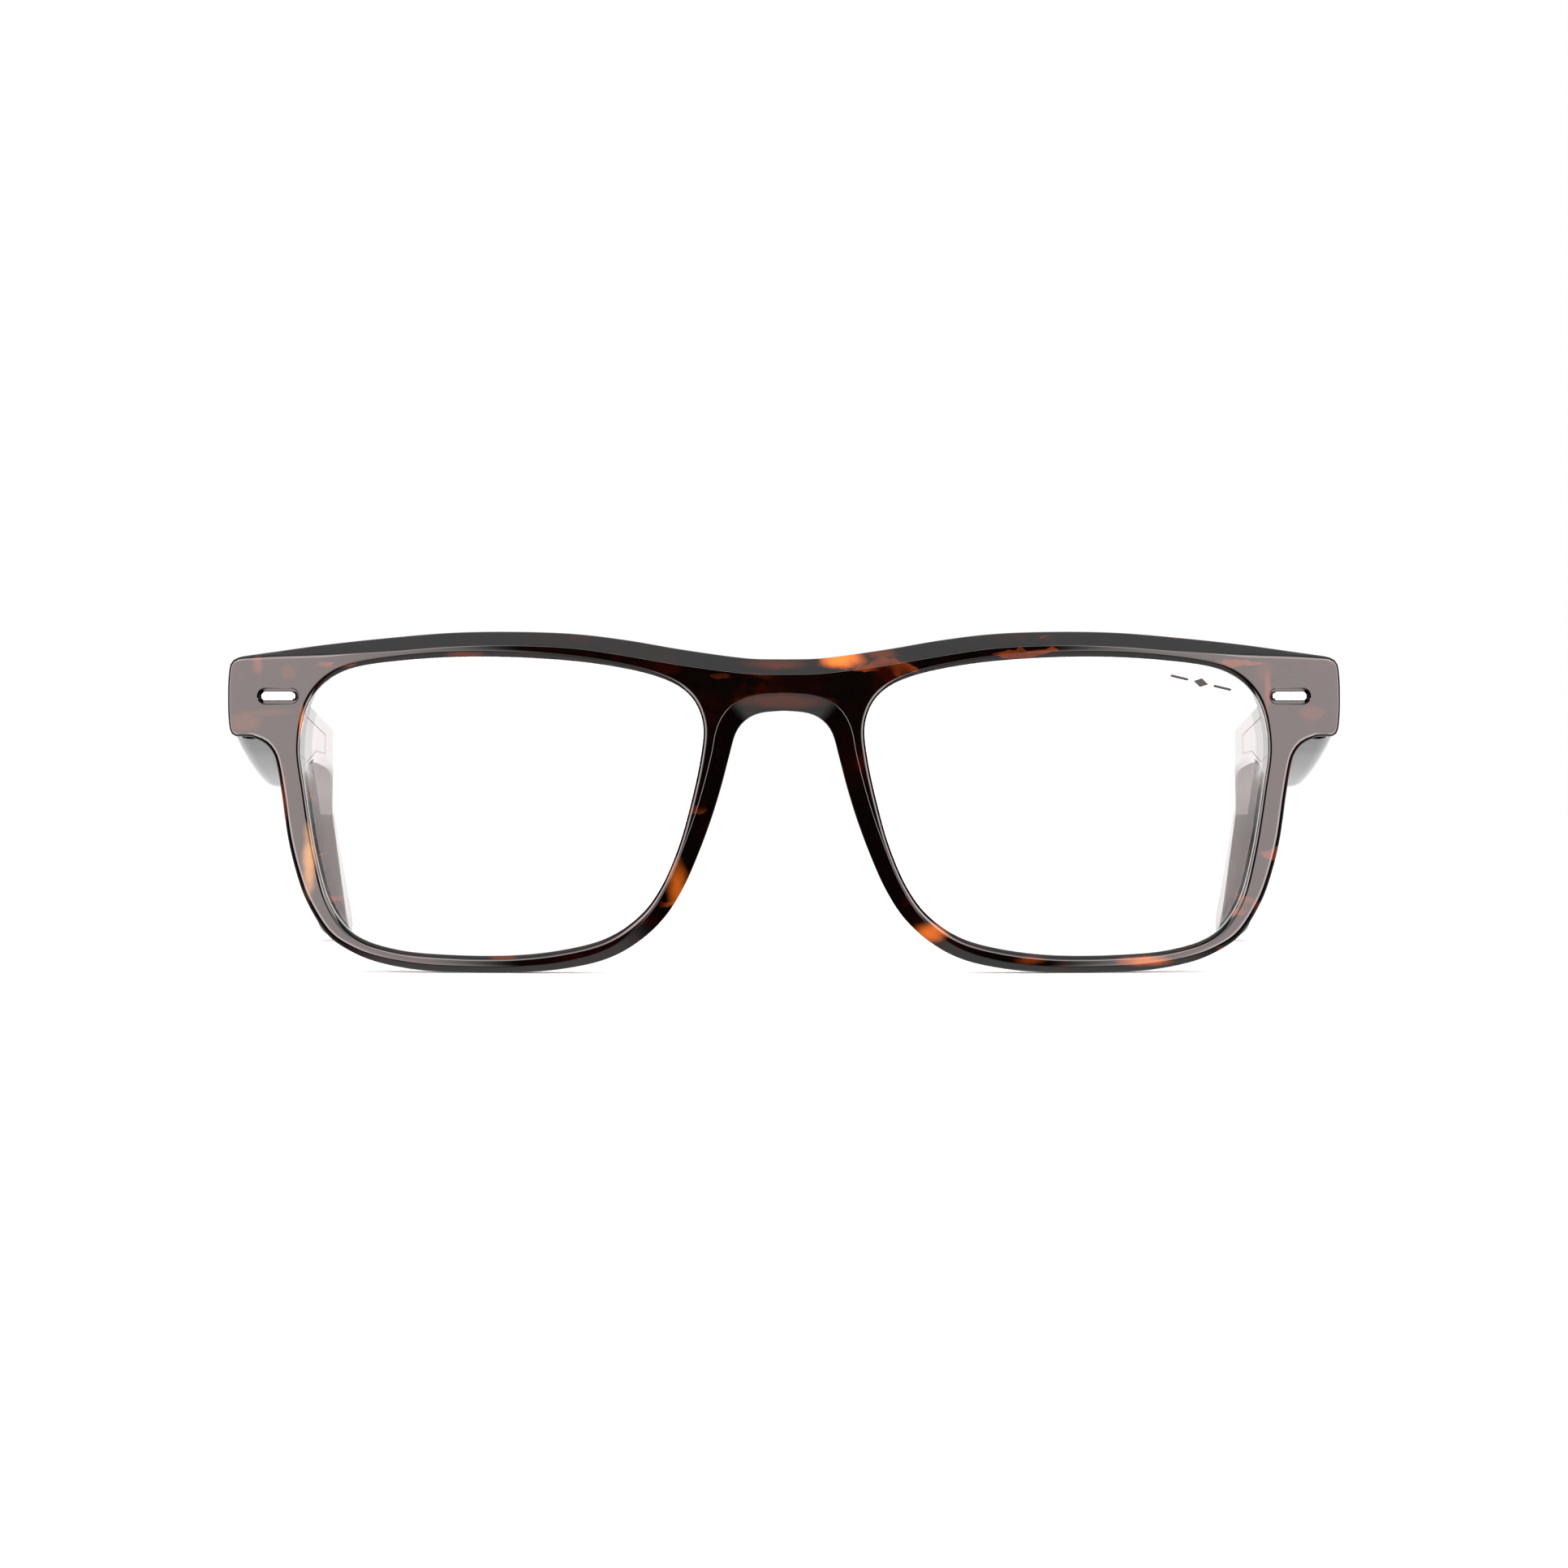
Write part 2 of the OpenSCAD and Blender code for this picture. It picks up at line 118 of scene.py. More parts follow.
def spread(points: np.ndarray, closed: bool, steps: int) -> np.ndarray:
    """Runs a smooth curve through control points.

    Args:
        points: Rows of control values, of any width.
        closed: True if the last point joins the first.
        steps: Pieces between two control points.

    Returns:
        The points along the curve, without the repeated end of a closed one.
    """
    p = np.asarray(points, float)
    n = len(p)
    if closed:
        before, after, beyond = np.roll(p, 1, 0), np.roll(p, -1, 0), np.roll(p, -2, 0)
        start = p
    else:
        padded = np.vstack([2 * p[0] - p[1], p, 2 * p[-1] - p[-2]])
        before, start, after, beyond = padded[:-3], padded[1:-2], padded[2:-1], padded[3:]
        n -= 1
    rows = []
    for i in range(n):
        for k in range(steps):
            t = k / steps
            a, b, c, d = before[i], start[i], after[i], beyond[i]
            rows.append(0.5 * (2 * b + (c - a) * t + (2 * a - 5 * b + 4 * c - d) * t**2
                               + (3 * b - a - 3 * c + d) * t**3))
    if not closed:
        rows.append(p[-1])
    return np.array(rows)


def evenly(loop: np.ndarray, spacing: float) -> np.ndarray:
    """Spaces a closed loop's points evenly.

    Args:
        loop: Rows whose first two values are a place.
        spacing: The wanted distance between points.

    Returns:
        The same loop with even spacing.
    """
    closed = np.vstack([loop, loop[:1]])
    run = np.r_[0, np.cumsum(np.linalg.norm(np.diff(closed[:, :2], axis=0), axis=1))]
    count = max(12, int(round(run[-1] / spacing)))
    at = np.linspace(0, run[-1], count, endpoint=False)
    return np.column_stack([np.interp(at, run, closed[:, k]) for k in range(closed.shape[1])])


def subdivided(corners: np.ndarray, spacing: float) -> np.ndarray:
    """Adds points along the straight sides of a closed loop and keeps its corners.

    Args:
        corners: The loop's corners.
        spacing: The largest distance between points.

    Returns:
        The loop with the added points.
    """
    pieces = []
    for start, end in zip(corners, np.roll(corners, -1, 0)):
        steps = max(1, math.ceil(float(np.linalg.norm(end - start)) / spacing))
        pieces.append(start + (end - start) * np.linspace(0, 1, steps, endpoint=False)[:, None])
    return np.vstack(pieces)


def turned_left(loop: np.ndarray) -> np.ndarray:
    """The loop with its inside on the left as it is walked.

    Args:
        loop: The closed loop.

    Returns:
        The loop, turned round if it ran the other way.
    """
    x, z = loop[:, 0], loop[:, 1]
    area = np.sum(x * np.roll(z, -1) - np.roll(x, -1) * z)
    return loop if area > 0 else loop[::-1]


def normals(loop: np.ndarray) -> np.ndarray:
    """Unit normals of a closed loop that is walked with its inside on the left, pointing inside.

    Args:
        loop: The closed loop.

    Returns:
        One unit normal for each point.
    """
    along = np.roll(loop[:, :2], -1, 0) - np.roll(loop[:, :2], 1, 0)
    along /= np.maximum(np.linalg.norm(along, axis=1), 1e-9)[:, None]
    return np.column_stack([-along[:, 1], along[:, 0]])


def inside(points: np.ndarray, loop: np.ndarray) -> np.ndarray:
    """Says which points lie inside a closed loop.

    Args:
        points: Rows of two values.
        loop: The closed outline.

    Returns:
        One boolean per point.
    """
    a, b = loop[:, :2], np.roll(loop[:, :2], -1, 0)
    x, z = points[:, 0][:, None], points[:, 1][:, None]
    crosses = (a[:, 1] > z) != (b[:, 1] > z)
    with np.errstate(divide="ignore", invalid="ignore"):
        at = a[:, 0] + (z - a[:, 1]) * (b[:, 0] - a[:, 0]) / (b[:, 1] - a[:, 1])
    return (crosses & (x < at)).sum(1) % 2 == 1


def soft_step(low: float, high: float, value: np.ndarray) -> np.ndarray:
    """Rises smoothly from 0 at low to 1 at high."""
    t = np.clip((value - low) / (high - low), 0, 1)
    return t * t * (3 - 2 * t)


# ---------------------------------------------------------------- slabs


Rings = list[tuple[np.ndarray, np.ndarray]]  # offset into the material and depth, for each point


@dataclass(frozen=True)
class Edge:
    """The cross-section of a slab's edge, a flat facet or a round one.

    Attributes:
        slope: Depth of a facet as a share of its width.
        fillet: How far the rounding of a facet's corner reaches.
        round_front: True for a round front edge in place of a facet.
        back: Radius of the back edge.
        crisp: How much smaller the rounding is where the facet is wide.
    """

    slope: float = 0.9
    fillet: float = 0.3
    round_front: bool = False
    back: float = 0.5
    crisp: float = 0.0

    def front_rings(self, width: np.ndarray) -> Rings:
        """The rings from the front face down to the wall.

        Args:
            width: The edge's width at each point of the loop.

        Returns:
            Offset and depth of each ring.
        """
        if self.round_front:
            turns = np.linspace(0, math.pi / 2, 7)
            return [(width * (1 - math.sin(a)), width * self.slope * (1 - math.cos(a))) for a in turns]
        length = math.hypot(1, self.slope)
        run, drop = 1 / length, self.slope / length
        upper = np.minimum(self.fillet, 0.5 * width * length) * (1 - self.crisp * soft_step(1.3, 1.7, width))
        lower = np.minimum(0.45 * self.fillet, 0.3 * width * length)
        rings = []
        for t in np.linspace(0, 1, 5):
            rings.append((width + upper * ((1 - t) ** 2 - t * t * run), upper * t * t * drop))
        for t in np.linspace(0, 1, 4):
            near = (1 - t) ** 2 * lower
            rings.append((near * run, self.slope * width - near * drop + t * t * lower))
        return rings

    def back_rings(self, width: np.ndarray) -> Rings:
        """The rings from the wall round to the back face, with depth from the back.

        Args:
            width: The edge's width at each point of the loop, for its length only.

        Returns:
            Offset and depth of each ring.
        """
        turns = np.linspace(0, math.pi / 2, 7)
        flat = np.ones_like(width) * self.back
        return [(flat * (1 - math.cos(a)), flat * (1 - math.sin(a))) for a in turns]


@dataclass
class Opening:
    """A hole or a pocket in a slab's face.

    Attributes:
        loop: Its outline with edge widths.
        depth: How deep a pocket is, or None for a hole right through.
    """

    loop: Loop
    depth: float | None = None


@dataclass
class Slab:
    """A plate with shaped edges, holes and pockets, bent by a placing function."""

    name: str
    outline: Loop
    place: Place
    edge: Edge
    openings: list[Opening] = field(default_factory=list)
    hole_edge: Edge | None = None
    grid: float = 2.0
    vertices: list[np.ndarray] = field(default_factory=list)
    faces: list[tuple[int, ...]] = field(default_factory=list)
    pocket_faces: list[int] = field(default_factory=list)
    count: int = 0

    def add(self, flat: np.ndarray, depth: np.ndarray | float, back: bool) -> np.ndarray:
        """Adds vertices.

        Args:
            flat: Flat places in millimetres.
            depth: Depth of each one behind its face.
            back: True if the depth counts from the back face.

        Returns:
            The new vertices' numbers.
        """
        depths = np.broadcast_to(np.asarray(depth, float), (len(flat),))
        self.vertices.append(self.place(flat, depths, back))
        numbers = np.arange(self.count, self.count + len(flat))
        self.count += len(flat)
        return numbers

    def ring(self, loop: Loop, offset: np.ndarray, depth: np.ndarray | float, back: bool,
             sign: float) -> tuple[np.ndarray, np.ndarray]:
        """Adds one ring and returns its flat points and vertex numbers."""
        flat = loop[:, :2] + sign * normals(loop) * offset[:, None]
        return flat, self.add(flat, np.maximum(0, depth), back)

    def strip(self, upper: np.ndarray, lower: np.ndarray, flip: bool) -> None:
        """Joins two rings with quads.

        Args:
            upper: Vertex numbers of one ring.
            lower: Vertex numbers of the next one.
            flip: True to turn the faces round.
        """
        a, b = upper, np.roll(upper, -1)
        c, d = np.roll(lower, -1), lower
        for quad in zip(a, b, c, d):
            self.faces.append(tuple(int(v) for v in (quad[::-1] if flip else quad)))

    def fill(self, rings: list[tuple[np.ndarray, np.ndarray]], depth: float, back: bool,
             flip: bool) -> None:
        """Fills between an outer ring and inner rings with an even net of triangles.

        Args:
            rings: Flat points and vertex numbers of the outer ring and then of each inner one.
            depth: Depth of the filled face.
            back: True if the depth counts from the back face.
            flip: True to turn the faces round.
        """
        outer = rings[0][0]
        low, high = outer.min(0), outer.max(0)
        xs = np.arange(low[0] + self.grid / 2, high[0], self.grid)
        zs = np.arange(low[1] + self.grid / 2, high[1], self.grid)
        net = np.array([(x, z) for x in xs for z in zs]) if len(xs) and len(zs) else np.zeros((0, 2))
        edges_at = np.vstack([r[0] for r in rings])
        if len(net):
            keep = inside(net, outer)
            for flat, _ in rings[1:]:
                keep &= ~inside(net, flat)
            net = net[keep]
            if len(net):
                near = np.array([np.min(np.sum((edges_at - q) ** 2, axis=1)) for q in net])
                net = net[near > (0.35 * self.grid) ** 2]
        known = np.concatenate([r[1] for r in rings])
        extra = self.add(net, depth, back) if len(net) else np.zeros(0, int)
        points = np.vstack([edges_at, net]) if len(net) else edges_at
        numbers = np.concatenate([known, extra])
        lines, start = [], 0
        for flat, _ in rings:
            n = len(flat)
            lines += [(start + i, start + (i + 1) % n) for i in range(n)]
            start += n
        found, _, triangles, origins, _, _ = delaunay_2d_cdt(
            [Vector(p) for p in points.tolist()], lines, [], 0, 1e-6)
        at = np.array([tuple(v) for v in found])
        index = [numbers[o[0]] if o else -1 for o in origins]
        middles = np.array([at[list(t)].mean(0) for t in triangles])
        keep = inside(middles, rings[0][0])
        for flat, _ in rings[1:]:
            keep &= ~inside(middles, flat)
        for ok, t in zip(keep, triangles):
            mapped = [int(index[i]) for i in t]
            if ok and -1 not in mapped and len(set(mapped)) == len(mapped):
                self.faces.append(tuple(mapped[::-1] if flip else mapped))

    def wall(self, loop: Loop, edge: Edge, sign: float) -> tuple[tuple, tuple]:
        """Builds an edge from the front face to the back.

        Args:
            loop: The outline or opening, with edge widths.
            edge: The edge's cross-section.
            sign: 1 for the outline and -1 for an opening.

        Returns:
            Both boundary rings.
        """
        flip = sign < 0
        first = last = None
        for offset, depth in edge.front_rings(loop[:, 2]):
            ring = self.ring(loop, offset, depth, False, sign)
            if last is not None:
                self.strip(last[1], ring[1], flip)
            first, last = first or ring, ring
        for offset, depth in edge.back_rings(loop[:, 2]):
            ring = self.ring(loop, offset, depth, True, sign)
            self.strip(last[1], ring[1], flip)
            last = ring
        return first, last

    def pocket(self, opening: Opening) -> tuple[np.ndarray, np.ndarray]:
        """Builds a pocket's rim, wall and floor.

        Args:
            opening: The pocket.

        Returns:
            Its rim ring.
        """
        loop = opening.loop
        width = loop[:, 2]
        first_face = len(self.faces)
        rim = self.ring(loop, width, 0, False, -1)
        lip = self.ring(loop, 0.3 * width, 0.3 * width, False, -1)
        top = self.ring(loop, 0 * width, width, False, -1)
        foot = self.ring(loop, 0 * width, opening.depth, False, -1)
        self.strip(rim[1], lip[1], True)
        self.strip(lip[1], top[1], True)
        self.strip(top[1], foot[1], True)
        self.fill([foot], opening.depth, False, False)
        self.pocket_faces += range(first_face, len(self.faces))
        return rim

    def build(self) -> bpy.types.Object:
        """Builds the slab's mesh.

        Returns:
            The new object.
        """
        outline = turned_left(self.outline)
        front, back = self.wall(outline, self.edge, 1)
        front_rings, back_rings = [front], [back]
        for opening in self.openings:
            opening.loop = turned_left(opening.loop)
            if opening.depth is None:
                a, b = self.wall(opening.loop, self.hole_edge or self.edge, -1)
                front_rings.append(a)
                back_rings.append(b)
            else:
                front_rings.append(self.pocket(opening))
        self.fill(front_rings, 0, False, False)
        self.fill(back_rings, 0, True, True)
        piece = mesh_object(self.name, np.vstack(self.vertices), self.faces)
        # The pockets' faces take the second finish, which paints them near-black as shade
        for index in self.pocket_faces:
            piece.data.polygons[index].material_index = 1
        return piece


def rounded_plate(name: str, loop: Loop, place: Place, back: float, grid: float,
                  slope: float = 1.0) -> bpy.types.Object:
    """Builds a plate with a round front edge."""
    return Slab(name, loop, place, Edge(slope, round_front=True, back=back), grid=grid).build()


def mesh_object(name: str, points: np.ndarray, faces: Sequence[tuple[int, ...]],
                sharp: float = 40.0) -> bpy.types.Object:
    """Makes a smooth-shaded mesh object.

    Args:
        name: The piece's name.
        points: Vertex places in millimetres.
        faces: Vertex numbers of each face.
        sharp: The angle in degrees over which an edge stays sharp.

    Returns:
        The new object, linked to the scene.
    """
    mesh = bpy.data.meshes.new(name)
    mesh.from_pydata((points * MM).tolist(), [], list(faces))
    mesh.validate()
    mesh.update()
    mesh.shade_smooth()
    mesh.set_sharp_from_angle(angle=math.radians(sharp))
    piece = bpy.data.objects.new(name, mesh)
    bpy.context.scene.collection.objects.link(piece)
    outward(piece)
    weigh = piece.modifiers.new("even_normals", "WEIGHTED_NORMAL")
    weigh.keep_sharp = True
    weigh.weight = 80
    return piece


def outward(piece: bpy.types.Object) -> None:
    """Turns a closed mesh's faces outwards.

    Args:
        piece: The piece whose mesh is turned.
    """
    work = bmesh.new()
    work.from_mesh(piece.data)
    bmesh.ops.recalc_face_normals(work, faces=work.faces)
    work.to_mesh(piece.data)
    work.free()


# ---------------------------------------------------------------- finishes


def colour(red: float, green: float, blue: float) -> tuple[float, float, float, float]:
    """A linear colour from display values of 0 to 255."""
    return tuple((v / 255) ** 2.2 for v in (red, green, blue)) + (1.0,)


class Nodes:
    """A small helper that adds and links shader nodes."""

    def __init__(self, tree: bpy.types.NodeTree) -> None:
        """Works on one node tree."""
        self.tree = tree

    def add(self, kind: str, inputs: dict | None = None, **settings: object) -> bpy.types.Node:
        """Adds a node.

        Args:
            kind: The node's type without its ShaderNode prefix.
            inputs: Socket names or numbers with a value or a socket to link from.
            **settings: Attributes of the node.

        Returns:
            The new node.
        """
        made = self.tree.nodes.new("ShaderNode" + kind)
        for key, value in settings.items():
            setattr(made, key, value)
        for key, value in (inputs or {}).items():
            if isinstance(value, Socket):
                self.tree.links.new(value, made.inputs[key])
            else:
                made.inputs[key].default_value = value
        return made

    def ramp(self, value: object, low: object, high: object) -> Socket:
        """A smooth mask that is 0 at low and 1 at high."""
        ends = {"Value": value, "From Min": low, "From Max": high}
        return self.add("MapRange", ends, interpolation_type="SMOOTHSTEP").outputs["Result"]

    def mix(self, amount: object, first: object, second: object) -> Socket:
        """Mixes two colours."""
        return self.add("Mix", {0: amount, 6: first, 7: second}, data_type="RGBA").outputs[2]

    def maths(self, operation: str, *values: object) -> Socket:
        """A maths node of one to three values."""
        return self.add("Math", dict(enumerate(values)), operation=operation).outputs[0]

    def vector(self, operation: str, *values: object) -> Socket:
        """A vector maths node of two vectors."""
        return self.add("VectorMath", dict(enumerate(values)), operation=operation).outputs[0]

    def scaled(self, vector: object, by: object) -> Socket:
        """A vector or colour times a number."""
        return self.add("VectorMath", {0: vector, "Scale": by}, operation="SCALE").outputs[0]

    def group(self, name: str, inputs: dict) -> bpy.types.Node:
        """Places a node group with its own values."""
        return self.add("Group", inputs, node_tree=bpy.data.node_groups[name])


def new_group(name: str, inputs: dict[str, tuple[str, object]],
              outputs: dict[str, str]) -> tuple[bpy.types.NodeTree, Nodes, object, object]:
    """Starts a shader node group.

    Args:
        name: The group's name.
        inputs: Socket name to its type and default value.
        outputs: Socket name to its type.

    Returns:
        The group, a helper on it, its input node and its output node.
    """
    group = bpy.data.node_groups.new(name, "ShaderNodeTree")
    for key, (kind, value) in inputs.items():
        socket = group.interface.new_socket(key, in_out="INPUT", socket_type=kind)
        if value is not None:
            socket.default_value = value
    for key, kind in outputs.items():
        group.interface.new_socket(key, in_out="OUTPUT", socket_type=kind)
    nodes = Nodes(group)
    return group, nodes, group.nodes.new("NodeGroupInput"), group.nodes.new("NodeGroupOutput")


class Tone(Enum):
    """The colours in tortoise acetate."""

    BLACK = (0.0012, 0.0006, 0.0005, 1.0)
    RED = (0.009, 0.001, 0.0006, 1.0)
    AMBER = (0.11, 0.02, 0.004, 1.0)
    ORANGE = (0.6, 0.13, 0.01, 1.0)
    HONEY = (0.32, 0.15, 0.04, 1.0)


def tortoise_group() -> bpy.types.NodeTree:
    """The clouds, chips and slivers of tortoise acetate.

    Returns:
        The node group.
    """
    group, nodes, given, out = new_group(
        "tortoise_pattern",
        {"Place": ("NodeSocketVector", None), "Chip Size": ("NodeSocketFloat", 300.0),
         "Amount": ("NodeSocketFloat", 0.15), "Clouds": ("NodeSocketFloat", 0.5)},
        {"Color": "NodeSocketColor"})
    place = given.outputs["Place"]
    drift = nodes.add("TexNoise", {"Vector": place, "Scale": 220.0, "Detail": 2.0})
    bent = nodes.scaled(nodes.vector("SUBTRACT", drift.outputs["Color"], MIDDLE), 0.0035)
    bent = nodes.vector("ADD", place, bent)
    clouds = nodes.add("TexNoise", {"Vector": bent, "Scale": 95.0, "Detail": 3.0, "Roughness": 0.55})
    fade = nodes.add("TexNoise", {"Vector": place, "Scale": 260.0, "Detail": 1.0})
    grain = nodes.add("TexNoise", {"Vector": bent, "Scale": 700.0, "Detail": 2.0})
    chips = nodes.add("TexVoronoi", {"Vector": bent, "Scale": given.outputs["Chip Size"], "Smoothness": 0.12},
                      feature="SMOOTH_F1", distance="MANHATTAN")
    parts = nodes.add("SeparateColor", {"Color": chips.outputs["Color"]})
    edge = nodes.maths("SUBTRACT", 1.0, given.outputs["Amount"])
    chip = nodes.ramp(parts.outputs[0], edge, nodes.maths("ADD", edge, 0.1))
    chip = nodes.maths("MULTIPLY", chip, nodes.ramp(fade.outputs["Fac"], 0.34, 0.56))
    thin = nodes.add("Mapping", {"Vector": bent, "Rotation": (0.4, 0.9, 0.3), "Scale": (1.0, 1.0, 4.5)})
    slivers = nodes.add("TexVoronoi", {"Vector": thin.outputs[0], "Scale": 170.0, "Smoothness": 0.1},
                        feature="SMOOTH_F1", distance="CHEBYCHEV")
    bits = nodes.add("SeparateColor", {"Color": slivers.outputs["Color"]})
    sliver = nodes.maths("MULTIPLY", nodes.ramp(bits.outputs[1], 0.965, 0.99),
                         nodes.ramp(fade.outputs["Fac"], 0.4, 0.6))
    red = nodes.maths("MULTIPLY", nodes.ramp(clouds.outputs["Fac"], 0.48, 0.7), given.outputs["Clouds"])
    block = nodes.maths("MULTIPLY", nodes.ramp(parts.outputs[2], 0.76, 0.86),
                        nodes.ramp(clouds.outputs["Fac"], 0.42, 0.55))
    red = nodes.maths("MAXIMUM", red, nodes.maths("MULTIPLY", block, 0.8))
    base = nodes.mix(red, Tone.BLACK.value, Tone.RED.value)
    kind = nodes.ramp(parts.outputs[1], 0.6, 1.0)
    chip_tone = nodes.mix(kind, Tone.AMBER.value, Tone.HONEY.value)
    base = nodes.mix(nodes.maths("MULTIPLY", chip, 0.85), base, chip_tone)
    base = nodes.mix(nodes.maths("MULTIPLY", sliver, 0.7), base, Tone.AMBER.value)
    streak = nodes.add("MapRange", {"Value": grain.outputs["Fac"], "From Min": 0.3, "From Max": 0.7,
                                    "To Min": 0.75, "To Max": 1.15}).outputs["Result"]
    group.links.new(nodes.scaled(base, streak), out.inputs["Color"])
    return group


def patch_group() -> bpy.types.NodeTree:
    """One larger patch of colour with a soft, uneven border, as a mask.

    Returns:
        The node group.
    """
    group, nodes, given, out = new_group(
        "colour_patch",
        {"Place": ("NodeSocketVector", None), "Centre": ("NodeSocketVector", None),
         "Reach": ("NodeSocketVector", (0.002, 0.003, 0.002)), "Softness": ("NodeSocketFloat", 0.5),
         "Unevenness": ("NodeSocketFloat", 1.0)},
        {"Mask": "NodeSocketFloat"})
    noise = nodes.add("TexNoise", {"Vector": given.outputs["Place"], "Scale": 420.0, "Detail": 2.0})
    shift = nodes.scaled(nodes.vector("SUBTRACT", noise.outputs["Color"], MIDDLE), given.outputs["Unevenness"])
    away = nodes.vector("SUBTRACT", given.outputs["Place"], given.outputs["Centre"])
    away = nodes.vector("ADD", nodes.vector("DIVIDE", away, given.outputs["Reach"]), shift)
    length = nodes.add("VectorMath", {0: away}, operation="LENGTH").outputs["Value"]
    low = nodes.maths("SUBTRACT", 1.0, given.outputs["Softness"])
    high = nodes.maths("ADD", 1.0, given.outputs["Softness"])
    ends = {"Value": length, "From Min": low, "From Max": high, "To Min": 1.0, "To Max": 0.0}
    mask = nodes.add("MapRange", ends, interpolation_type="SMOOTHSTEP").outputs["Result"]
    group.links.new(mask, out.inputs["Mask"])
    return group


def smudge_group() -> bpy.types.NodeTree:
    """Faint uneven polish, as a roughness, a height and a shade.

    Returns:
        The node group.
    """
    group, nodes, given, out = new_group(
        "polish", {"Place": ("NodeSocketVector", None), "Roughness": ("NodeSocketFloat", 0.1),
                   "Spread": ("NodeSocketFloat", 0.04), "Scale": ("NodeSocketFloat", 300.0)},
        {"Roughness": "NodeSocketFloat", "Height": "NodeSocketFloat", "Shade": "NodeSocketFloat"})
    noise = nodes.add("TexNoise", {"Vector": given.outputs["Place"], "Scale": given.outputs["Scale"],
                                   "Detail": 3.0})
    centred = nodes.maths("SUBTRACT", noise.outputs["Fac"], 0.5)
    rough = nodes.maths("MULTIPLY_ADD", centred, given.outputs["Spread"], given.outputs["Roughness"])
    group.links.new(rough, out.inputs["Roughness"])
    group.links.new(noise.outputs["Fac"], out.inputs["Height"])
    group.links.new(nodes.maths("MULTIPLY_ADD", centred, 0.3, 1.0), out.inputs["Shade"])
    return group


@dataclass(frozen=True)
class Finish:
    """A plain finish with an uneven polish.

    Attributes:
        name: The material's name.
        base: Its colour.
        roughness: Its mean roughness.
        metallic: 1 for metal.
        spread: How much the roughness varies.
        bump: Height of its fine relief, in metres.
        scale: Scale of the relief.
    """

    name: str
    base: tuple[float, float, float, float]
    roughness: float
    metallic: float = 0.0
    spread: float = 0.05
    bump: float = 0.0
    scale: float = 400.0

    def make(self) -> bpy.types.Material:
        """The finish as a material.

        Returns:
            The new material.
        """
        material, nodes, shader, place = start_material(self.name)
        shader.inputs["Metallic"].default_value = self.metallic
        polish = nodes.group("polish", {"Place": place, "Roughness": self.roughness, "Spread": self.spread,
                                        "Scale": self.scale})
        nodes.tree.links.new(polish.outputs["Roughness"], shader.inputs["Roughness"])
        nodes.tree.links.new(nodes.scaled(self.base[:3], polish.outputs["Shade"]), shader.inputs["Base Color"])
        if self.bump:
            relief = nodes.add("Bump", {"Height": polish.outputs["Height"], "Distance": self.bump,
                                        "Strength": 0.5})
            nodes.tree.links.new(relief.outputs[0], shader.inputs["Normal"])
        return material


def start_material(name: str) -> tuple[bpy.types.Material, Nodes, bpy.types.Node, Socket]:
    """Makes a material with a Principled shader.

    Args:
        name: The material's name.

    Returns:
        The material, a node helper, its shader and the object coordinates.
    """
    material = bpy.data.materials.new(name)
    material.use_nodes = True
    nodes = Nodes(material.node_tree)
    shader = material.node_tree.nodes["Principled BSDF"]
    place = nodes.add("TexCoord").outputs["Object"]
    return material, nodes, shader, place


@dataclass(frozen=True)
class Patch:
    """A larger patch of colour at a set place in the acetate.

    Attributes:
        centre: Its middle, in millimetres.
        reach: Its half sizes, in millimetres.
        tone: Its colour.
        strength: How fully it covers what is under it.
        softness: How wide its border is, as a share of its reach.
        uneven: How far its shape strays from an oval.
    """

    centre: tuple[float, float, float]
    reach: tuple[float, float, float]
    tone: Tone
    strength: float = 0.8
    softness: float = 0.5
    uneven: float = 1.0


@dataclass(frozen=True)
class Acetate:
    """Polished tortoise acetate."""

    name: str
    amount: float = 0.15
    chip_size: float = 300.0
    clouds: float = 0.5
    roughness: float = 0.05
    spread: float = 0.02
    scale: float = 500.0
    ior: float = 1.5
    shift: tuple[float, float, float] = (0.0, 0.0, 0.0)
    patches: tuple[Patch, ...] = ()

    def make(self) -> bpy.types.Material:
        """The acetate as a material.

        Returns:
            The new material.
        """
        material, nodes, shader, place = start_material(self.name)
        pattern = nodes.group("tortoise_pattern", {
            "Place": nodes.vector("ADD", place, self.shift), "Amount": self.amount,
            "Chip Size": self.chip_size, "Clouds": self.clouds})
        base = pattern.outputs["Color"]
        for patch in self.patches:
            spot = nodes.group("colour_patch", {
                "Place": place, "Centre": tuple(v * MM for v in patch.centre),
                "Reach": tuple(v * MM for v in patch.reach), "Softness": patch.softness,
                "Unevenness": patch.uneven})
            amount = nodes.maths("MULTIPLY", spot.outputs["Mask"], patch.strength)
            base = nodes.mix(amount, base, patch.tone.value)
        polish = nodes.group("polish", {"Place": place, "Roughness": self.roughness, "Spread": self.spread,
                                        "Scale": self.scale})
        nodes.tree.links.new(base, shader.inputs["Base Color"])
        nodes.tree.links.new(polish.outputs["Roughness"], shader.inputs["Roughness"])
        shader.inputs["IOR"].default_value = self.ior
        return material


